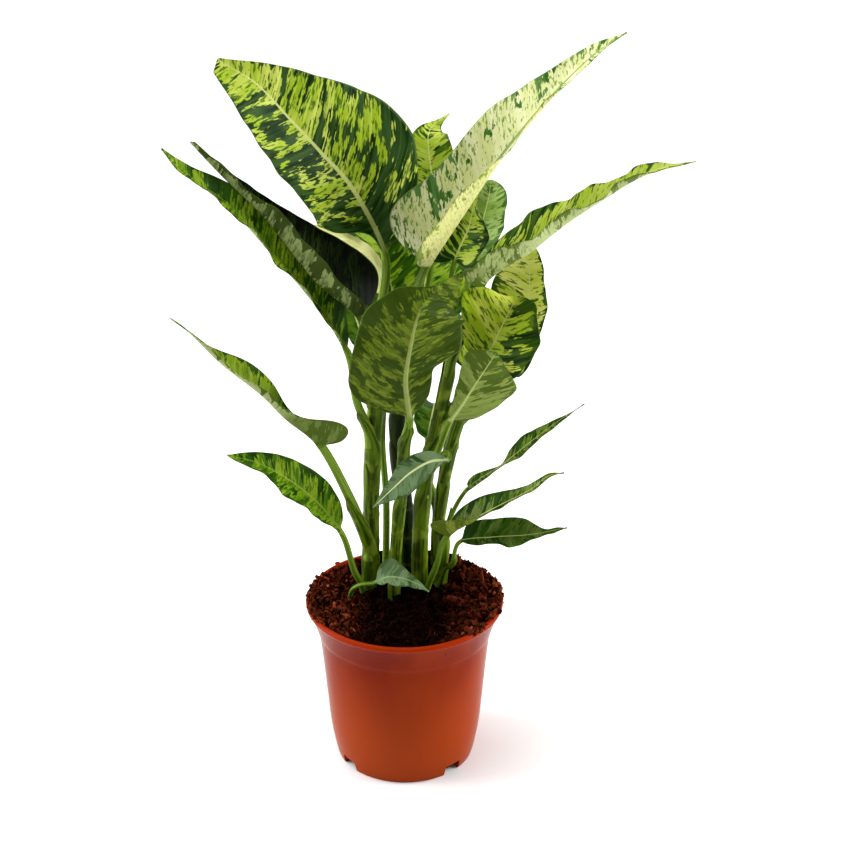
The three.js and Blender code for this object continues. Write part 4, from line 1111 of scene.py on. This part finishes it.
def sheath_mesh(name, leaf):
    """A curled strip that clasps the cane below its leaf and narrows into wings on the stalk."""
    t = np.linspace(0, 1, SHEATH_ROWS)
    stalk = [*stalk_start(leaf), *leaf["stalk"], *leaf["rib"]]
    line = smooth_curve(stalk, np.linspace(0, len(leaf["stalk"]) / (len(stalk) - 1) + 0.2, 160))
    cane, radius = cane_line(leaf["cane"])
    height = leaf.get("height", CANES[leaf["cane"]][0][-1][2])
    z = height - SHEATH_BELOW + (SHEATH_BELOW + LONG_SHEATHS.get(name, SHEATH_ABOVE)) * t
    on_cane, on_stalk = (np.column_stack([read_off(z, way[:, 2], way[:, :2]), z]) for way in (cane, line))
    share = smooth_step(np.clip((z - height + 6) / 30, 0, 1))[:, None]
    middle = on_cane * (1 - share) + on_stalk * share
    size = (np.interp(z, cane[:, 2], radius)[:, None] + 0.5) * (1 - share) + (leaf["stem"][0] + 0.35) * share
    size = size - 1.1 * (1 - np.clip(t / 0.5, 0, 1))[:, None] ** 2
    if "height" in leaf:
        outward = np.array([*leaf["stalk"], *leaf["rib"]][0]) - cane[0]
    else:
        outward = line[-1] - cane[-1]
    front = squared_to(directions(middle), np.broadcast_to(outward * (1, 1, 0), middle.shape))
    aside = np.cross(directions(middle), front)
    over = np.linspace(-1, 1, SHEATH_COLUMNS)
    angle = over * np.radians(np.interp(t, REACH_AT, REACH))[:, None]
    flare = 1 + 0.1 * np.abs(over) ** 5 * np.interp(t, FLARE_AT, FLARE)[:, None]

    def sheet(extra):
        out = size * flare + extra
        return rings_about(middle, front, aside, out * np.cos(angle), out * np.sin(angle))

    rings = np.concatenate([sheet(SHEATH_THICKNESS), sheet(0.0)[:, ::-1]], 1)
    there_and_back = np.concatenate([over, over[::-1]])
    edge = np.concatenate([np.tile(np.abs(there_and_back) ** 8, SHEATH_ROWS) * 0.6, [0, 0]])
    flat = flat_coordinates((there_and_back + 1) / 2, z * 0.01, 0.7 * height)
    ends = rings[[0, -1], SHEATH_COLUMNS // 2]
    return tube_mesh("sheath_skin_" + name, rings, ends, {"ring": edge}, {"round": flat})


for name, values in LEAVES.items():
    if "cane" in values:
        make_piece("sheath_of_" + name, sheath_mesh(name, values), finish_of(values["cane"]), [])
print("sheaths made:", sum("cane" in values for values in LEAVES.values()))

# %% [markdown]
# The pot is turned from one profile: up the outside, over the rolled lip, down the inside, and
# across the floor. Turning it round is one array product. Its plastic is a plain terracotta
# tone, painted darker and redder towards the top as painted shade under the lip and the leaves,
# with a cleaner, brighter lip.

# %% The pot
POT_WALL = [
    (59.5, 0), (61.8, 9), (64.6, 25), (66.4, 40), (68.2, 60), (73, 113), (75.6, 125), (79.2, 136), (83, 145),
]
POT_FOOT = [(0, 0), (15, 0), (16, 2.5), (53, 2.5), (54, 0.5), (54.6, 0), (58.6, 0), (59.6, 0.5), (60.2, 2)]
WALL_THICKNESS = 1.6
LIP_CENTRE, LIP_RADIUS = (82.5, 148.6), 2.5
FLOOR_EDGE, FLOOR_TOP = 59.2, 4.5
POT_SIDES = 192
PAINTED_SHADE_HEIGHTS = (0.02, 0.15)
LIP_HEIGHTS = (0.1462, 0.1474)


def pot_profile():
    """Radius and height round the pot's section, starting and ending on its axis."""
    outside = smooth_curve(POT_WALL[1:], np.linspace(0, 1, 48))
    angle = np.linspace(-0.6, np.pi * 0.98, 16)
    lip = np.array(LIP_CENTRE) + LIP_RADIUS * np.stack([np.cos(angle), np.sin(angle)], -1)
    inside = outside[::-1] - (WALL_THICKNESS, 0)
    return np.vstack([POT_FOOT, outside, lip, inside, [(FLOOR_EDGE, FLOOR_TOP), (0, FLOOR_TOP)]])


def turned_rings(radius, height, sides):
    """A section turned round the upright axis: each ring is its radius and height at every angle."""
    angle = 2 * np.pi * np.arange(sides) / sides
    return np.stack(np.broadcast_arrays(radius * np.cos(angle), radius * np.sin(angle), height), -1)


def pot_material():
    """Terracotta moulded plastic, satin: painted shade darkens it towards the top, under a brighter lip."""
    material, tree, shader = new_material("pot_finish", roughness=0.27, specular=0.04)
    place = add_node(tree, "ShaderNodeTexCoord").outputs["Object"]
    cloud = fade(tree, grain(tree, place, (14, 14, 8), detail=3), 0.35, 0.7, 0, 0.5)
    height = add_node(tree, "ShaderNodeSeparateXYZ", {0: place}).outputs[2]
    # Painted shade: the wall is painted darker towards the top, for the shade under the lip and the leaves.
    paint = blend(tree, fade(tree, height, *PAINTED_SHADE_HEIGHTS), colour(142, 52, 10), colour(102, 18, 0))
    paint = blend(tree, cloud, paint, colour(146, 50, 5))
    paint = blend(tree, fade(tree, height, *LIP_HEIGHTS), paint, colour(140, 36, 1))
    tree.links.new(paint, shader.inputs["Base Color"])
    bump(tree, shader, grain(tree, place, (900, 900, 500)), 0.00008, 0.5)
    return material


profile = pot_profile()
pot_rings = turned_rings(profile[1:-1, :1], profile[1:-1, 1:], POT_SIDES)
pot_mesh = tube_mesh("pot_skin", pot_rings, [(0, 0, profile[0, 1]), (0, 0, profile[-1, 1])])
pot = make_piece("dressed_pot", pot_mesh, pot_material(), ["pot"])
print("pot faces:", len(pot_mesh.polygons))

# %% [markdown]
# Four notches at the foot let water out. They are arches, so the cutter is a block whose top
# corners are rounded: a flat outline drawn once, pushed through the wall and turned to each
# notch's place. Each cut is one Boolean modifier, made final before the next, and the cutter is
# thrown away.

# %% Cut the drain notches
DRAIN_ANGLES = (-143, -53, 43, 134)
NOTCH_HALF_WIDTH = 8.5
NOTCH_HEIGHT = 9.8
NOTCH_DEPTH = 9
NOTCH_CORNER = 2.5


def notch_mesh(turn):
    """A block with a rounded top: its outline is a line of points, repeated outside and inside."""
    corner = np.linspace(0, np.pi / 2, 7)
    right_x = NOTCH_HALF_WIDTH - NOTCH_CORNER + NOTCH_CORNER * np.cos(corner)
    right_z = NOTCH_HEIGHT - NOTCH_CORNER + NOTCH_CORNER * np.sin(corner)
    x = np.concatenate([[NOTCH_HALF_WIDTH], right_x, -right_x[::-1], [-NOTCH_HALF_WIDTH]])
    z = np.concatenate([[-5], right_z, right_z[::-1], [-5]])
    y = -np.array([POT_WALL[1][0] + 3, POT_WALL[1][0] - NOTCH_DEPTH])
    rings = np.stack(np.broadcast_arrays(x, y[:, None], z), -1)
    ends = np.array([(0, y[0], 0), (0, y[1], 0)])
    c, s = math.cos(turn), math.sin(turn)
    turning = np.array([(c, s, 0), (-s, c, 0), (0, 0, 1)])
    return tube_mesh("notch", rings @ turning, ends @ turning)


bpy.context.view_layer.objects.active = pot
for degrees_round in DRAIN_ANGLES:
    cutter = add_object("notch", notch_mesh(math.radians(degrees_round)))
    cut = pot.modifiers.new("notch", "BOOLEAN")
    cut.operation = "DIFFERENCE"
    cut.object = cutter
    bpy.ops.object.modifier_apply(modifier=cut.name)
    bpy.data.objects.remove(cutter)
pot.data.set_sharp_from_angle(angle=math.radians(35))
print("pot faces with its notches:", len(pot.data.polygons))

# %% [markdown]
# Potting mix is crumbs of peat and bark with short brown fibres through them. Its top follows
# the CAD model's soil, level at the front and mounded at the back, with finer lumps on it. The
# lumps are sums of waves in many directions, so the height is a plain function of the place, and
# the crumbs that are scattered later can ask it how high they lie.

# %% The soil's shape
SOIL_RADIUS = 80.2
SOIL_LEVEL = 144.6
RIGHT_HEAP, LEFT_HEAP = 9.5, 5.0
SOIL_WALL = [(58, 5), (60, 11), (64.4, 40), (66.2, 60), (71, 113), (73.6, 125), (77.2, 136)]
SOIL_SIDES = 288
rng = np.random.default_rng(SEED)
LUMPS = [
    (waves * rng.uniform(0.8, 1.2), tall, *rng.uniform(0, 2 * np.pi, 3))
    for waves, tall, count in ((0.22, 0.9, 6), (0.5, 0.62, 10), (1.1, 0.42, 16))
    for _ in range(count)
]


def soil_height(x, y):
    """Level in front, heaped to the rim at the sides and over it at the back right, and lumpy."""
    away = np.hypot(x, y) / SOIL_RADIUS
    right = smooth_step(np.clip((0.62 * x + 0.6 * y + 6) / 62, 0, 1))
    left = smooth_step(np.clip((-0.95 * x + 0.2 * y - 28) / 40, 0, 1))
    heap = RIGHT_HEAP * right + LEFT_HEAP * left * away
    quick = sum(
        tall * np.sin(waves * (x * np.cos(way) + y * np.sin(way)) + first)
        * np.sin(0.7 * waves * (x * np.sin(way + 1) - y * np.cos(way + 1)) + second)
        for waves, tall, way, first, second in LUMPS
    )
    return SOIL_LEVEL + heap - 3.2 * np.clip(away - 0.8, 0, 1) * heap / 3 + quick


def soil_mesh():
    """Rings down the pot's inside and over the top, with the soil's height at each point."""
    radius = np.concatenate([[r for r, _ in SOIL_WALL], np.linspace(SOIL_RADIUS, 1.2, 100)])
    rings = turned_rings(radius[:, None], 0.0, SOIL_SIDES)
    rings[..., 2] = soil_height(rings[..., 0], rings[..., 1])
    rings[: len(SOIL_WALL), :, 2] = [[height] for _, height in SOIL_WALL]
    return tube_mesh("soil_skin", rings, [(0, 0, SOIL_WALL[0][1]), (0, 0, rings[-1, :, 2].mean())])


print("waves in the soil:", len(LUMPS))


# %% [markdown]
# Peat is almost black with reddish brown spots. Towards the middle, left to right, the brown
# spots are painted out and the crumbs and fibres are kept dark: painted shade from the leaves
# above. The noise is read in Object coordinates, which are simply metres, so the grain has the
# same size everywhere. The loose crumbs and fibres carry a number of their own that makes each
# lighter or darker, at random and by that painted shade.

# %% The soil's finish
def soil_material(name, dark, brown, pale):
    """Dark crumbs, brown spots painted out in the middle as painted shade, and a shade for each loose bit.
    """
    material, tree, shader = new_material(name, roughness=0.9, specular=0.02)
    place = add_node(tree, "ShaderNodeTexCoord").outputs["Object"]
    cloud = fade(tree, grain(tree, place, (130, 130, 130), detail=4, roughness=0.7), 0.42, 0.7)
    from_middle = calculate(tree, "ABSOLUTE", add_node(tree, "ShaderNodeSeparateXYZ", {0: place}).outputs[0])
    # Painted shade: near the middle, left to right, the brown spots are painted out for the leaves' shade.
    aside = fade(tree, from_middle, 0.03, 0.066, 0.06, 1)
    paint = blend(tree, attribute(tree, "shade"), cover(tree, dark, cloud, aside, brown), pale)
    tree.links.new(paint, shader.inputs["Base Color"])
    bump(tree, shader, grain(tree, place, (800, 800, 800), detail=4, roughness=0.7), 0.0012, 0.9)
    return material


soil_finish = soil_material("soil_finish", colour(6, 1, 0), colour(92, 30, 12), colour(158, 74, 42))
soil = make_piece("dressed_soil", soil_mesh(), soil_finish, ["soil"])
print("soil faces:", len(soil.data.polygons))

# %% [markdown]
# The crumbs are one rough pebble of twenty faces, copied a few thousand times with its own
# size, stretch, turn and shade. Copying is one array product: every pebble's corners at once.
# Most lie anywhere on the soil, and some have been spilled on the pot's rim. A crumb near the
# wall is moved in by twice its size, so that none sticks out through the pot.

# %% One pebble, many times
def pebble():
    """The twelve corners and twenty faces of an icosahedron."""
    g = (1 + 5**0.5) / 2
    corners = np.array([(-1, g, 0), (1, g, 0), (-1, -g, 0), (1, -g, 0)])
    corners = np.vstack([corners, np.roll(corners, 1, 1), np.roll(corners, 2, 1)])
    near = np.linalg.norm(corners[:, None] - corners[None], axis=-1) < 2.1
    i, j, k = np.nonzero(near[:, :, None] & near[:, None, :] & near[None, :, :])
    kept = (i < j) & (j < k)
    faces = np.stack([i, j, k], -1)[kept]
    a, b, c = (corners[faces[:, n]] for n in range(3))
    inward = (np.cross(b - a, c - a) * (a + b + c)).sum(-1) < 0
    faces[inward] = faces[inward][:, ::-1]
    return unit(corners), faces


def random_turns(count):
    """Rotation matrices with no favourite direction, from random quaternions."""
    q = unit(rng.normal(size=(count, 4)))
    w, x, y, z = q.T
    rows = [
        (1 - 2 * (y * y + z * z), 2 * (x * y - z * w), 2 * (x * z + y * w)),
        (2 * (x * y + z * w), 1 - 2 * (x * x + z * z), 2 * (y * z - x * w)),
        (2 * (x * z - y * w), 2 * (y * z + x * w), 1 - 2 * (x * x + y * y)),
    ]
    return np.stack([np.stack(row, -1) for row in rows], 1)


def scattered(places, sizes, stretch):
    """Every pebble's corners: the pebble made rough, stretched, turned, sized and moved."""
    corners, faces = pebble()
    count = len(places)
    rough = corners[None] * rng.uniform(0.5, 1.4, (count, 12, 1))
    rough = rough * np.exp(rng.normal(0, stretch, (count, 1, 3))) * sizes[:, None, None]
    turned = np.einsum("nij,nkj->nki", random_turns(count), rough)
    points = (turned + places[:, None]).reshape(-1, 3)
    numbers = faces[None] + 12 * np.arange(count)[:, None, None]
    return points, numbers.reshape(-1, 3)


print("faces of one pebble:", len(pebble()[1]))


# %% Crumbs
CRUMBS = 4600
RIM_CRUMBS = 900
RIM_HEIGHT = 151.2
# Each spill on the rim is a direction in degrees, how wide it is, how far out it lies and its share.
SPILLS = np.array([
    (182, 15, 83, 5), (204, 6, 84, 2), (319, 3, 83.5, 3), (343, 7, 83, 3), (12, 10, 84, 6), (50, 18, 82, 6),
])
# A chip of bark and a pale flake that stand out have places and sizes of their own.
CHIPS = [(53, 20, 153.5), (-42, -48, 146.5)]
CHIP_SIZES = [3.2, 1.6]

spread = SOIL_RADIUS * np.sqrt(rng.uniform(0, 1, CRUMBS)) * 0.99
way = rng.uniform(0, 2 * np.pi, CRUMBS)
sizes = np.exp(rng.normal(-0.05, 0.55, CRUMBS)).clip(0.4, 3.4)
spread = np.minimum(spread, SOIL_RADIUS - 2.2 * sizes)
x, y = spread * np.cos(way), spread * np.sin(way)
places = np.stack([x, y, soil_height(x, y) + 0.35 * sizes], -1)

chosen = SPILLS[rng.choice(len(SPILLS), RIM_CRUMBS, p=SPILLS[:, 3] / SPILLS[:, 3].sum())]
rim_way = np.radians(chosen[:, 0] + rng.normal(0, 1, RIM_CRUMBS) * chosen[:, 1])
rim_radius = chosen[:, 2] + rng.normal(-2.2, 1.6, RIM_CRUMBS).clip(-6, 1.5)
rim_sizes = np.exp(rng.normal(0.0, 0.45, RIM_CRUMBS)).clip(0.4, 2.4)
rim_top = RIM_HEIGHT - 0.3 * np.clip(rim_radius - LIP_CENTRE[0], 0, 4) ** 2
rim_top = rim_top + rng.exponential(0.9, RIM_CRUMBS).clip(0, 3)
rim_places = np.stack([rim_radius * np.cos(rim_way), rim_radius * np.sin(rim_way), rim_top], -1)

all_sizes = np.concatenate([sizes, rim_sizes, CHIP_SIZES])
points, triangles = scattered(np.vstack([places, rim_places, CHIPS]), all_sizes, 0.4)
crumb_x = np.concatenate([x, rim_places[:, 0]])
# Painted shade: crumbs near the middle are kept dark, and only those at the sides turn pale, for the leaves'
# shade.
aside = 0.03 + 0.97 * np.clip((np.abs(crumb_x) - 28) / 36, 0, 1)
shade = np.concatenate([rng.exponential(0.24, len(crumb_x)).clip(0, 0.9) * aside, [1.0, 1.0]])
no_quads = np.zeros((0, 4), dtype=int)
crumb_mesh = make_mesh("crumbs", points * MM, no_quads, triangles, {"shade": np.repeat(shade, 12)})
crumb_mesh.shade_flat()
make_piece("soil_crumbs", crumb_mesh, soil_finish, [])
print("crumbs:", len(all_sizes))

# %% [markdown]
# Fibres are thin three-sided tubes along short bent lines. A line is a start, a direction and a
# bend, so all of them are one array too. They lie on the soil and a few stand out of it.

# %% Fibres
FIBRES = 420
FIBRE_POINTS = 7
start_radius = SOIL_RADIUS * np.sqrt(rng.uniform(0, 1, FIBRES)) * 0.96
start_way = rng.uniform(0, 2 * np.pi, FIBRES)
heading = rng.uniform(0, 2 * np.pi, FIBRES)
bend = rng.normal(0, 0.22, FIBRES)
long = rng.uniform(5, 17, FIBRES)
share = np.linspace(0, 1, FIBRE_POINTS)
turned = heading[:, None] + bend[:, None] * np.arange(FIBRE_POINTS)
x = (start_radius * np.cos(start_way))[:, None] + np.cumsum(np.cos(turned), 1) * long[:, None] / FIBRE_POINTS
y = (start_radius * np.sin(start_way))[:, None] + np.cumsum(np.sin(turned), 1) * long[:, None] / FIBRE_POINTS
kept = np.hypot(x, y).max(1) < 81
x, y, turned = x[kept], y[kept], turned[kept]
arch = rng.uniform(0.4, 3.4, (len(x), 1)) * np.sin(np.pi * share)
lines = np.stack([x, y, soil_height(x, y) + 0.6 + arch], -1)
thick = rng.uniform(0.14, 0.36, (len(x), 1)) * np.sqrt(np.clip(1.05 - (2 * share - 1) ** 2, 0.1, 1))
across = np.stack([-np.sin(turned), np.cos(turned), np.zeros_like(turned)], -1)
corner = 2 * np.pi * np.arange(3) / 3
wide, tall = thick[..., None] * np.cos(corner), thick[..., None] * np.sin(corner)
rings = rings_about(lines, across, np.array([0, 0, 1.0]), wide, tall)
per_fibre = FIBRE_POINTS * 3 + 2
points = np.concatenate([rings.reshape(len(x), -1, 3), lines[:, [0, -1]]], 1).reshape(-1, 3)
step = per_fibre * np.arange(len(x))[:, None, None]
quads, fans = (faces[None] + step for faces in tube_faces(FIBRE_POINTS, 3))
# Painted shade: fibres near the middle are made darker for the leaves' shade.
shade = np.clip(rng.normal(0.3, 0.2, len(x)), 0, 1) * np.clip(np.abs(x[:, 3]) / 60, 0.1, 1)
shade = np.repeat(shade, per_fibre)
fibre_mesh = make_mesh("fibres", points * MM, quads.reshape(-1, 4), fans.reshape(-1, 3), {"shade": shade})
make_piece("soil_fibres", fibre_mesh, soil_finish, [])
print("fibres:", len(x))
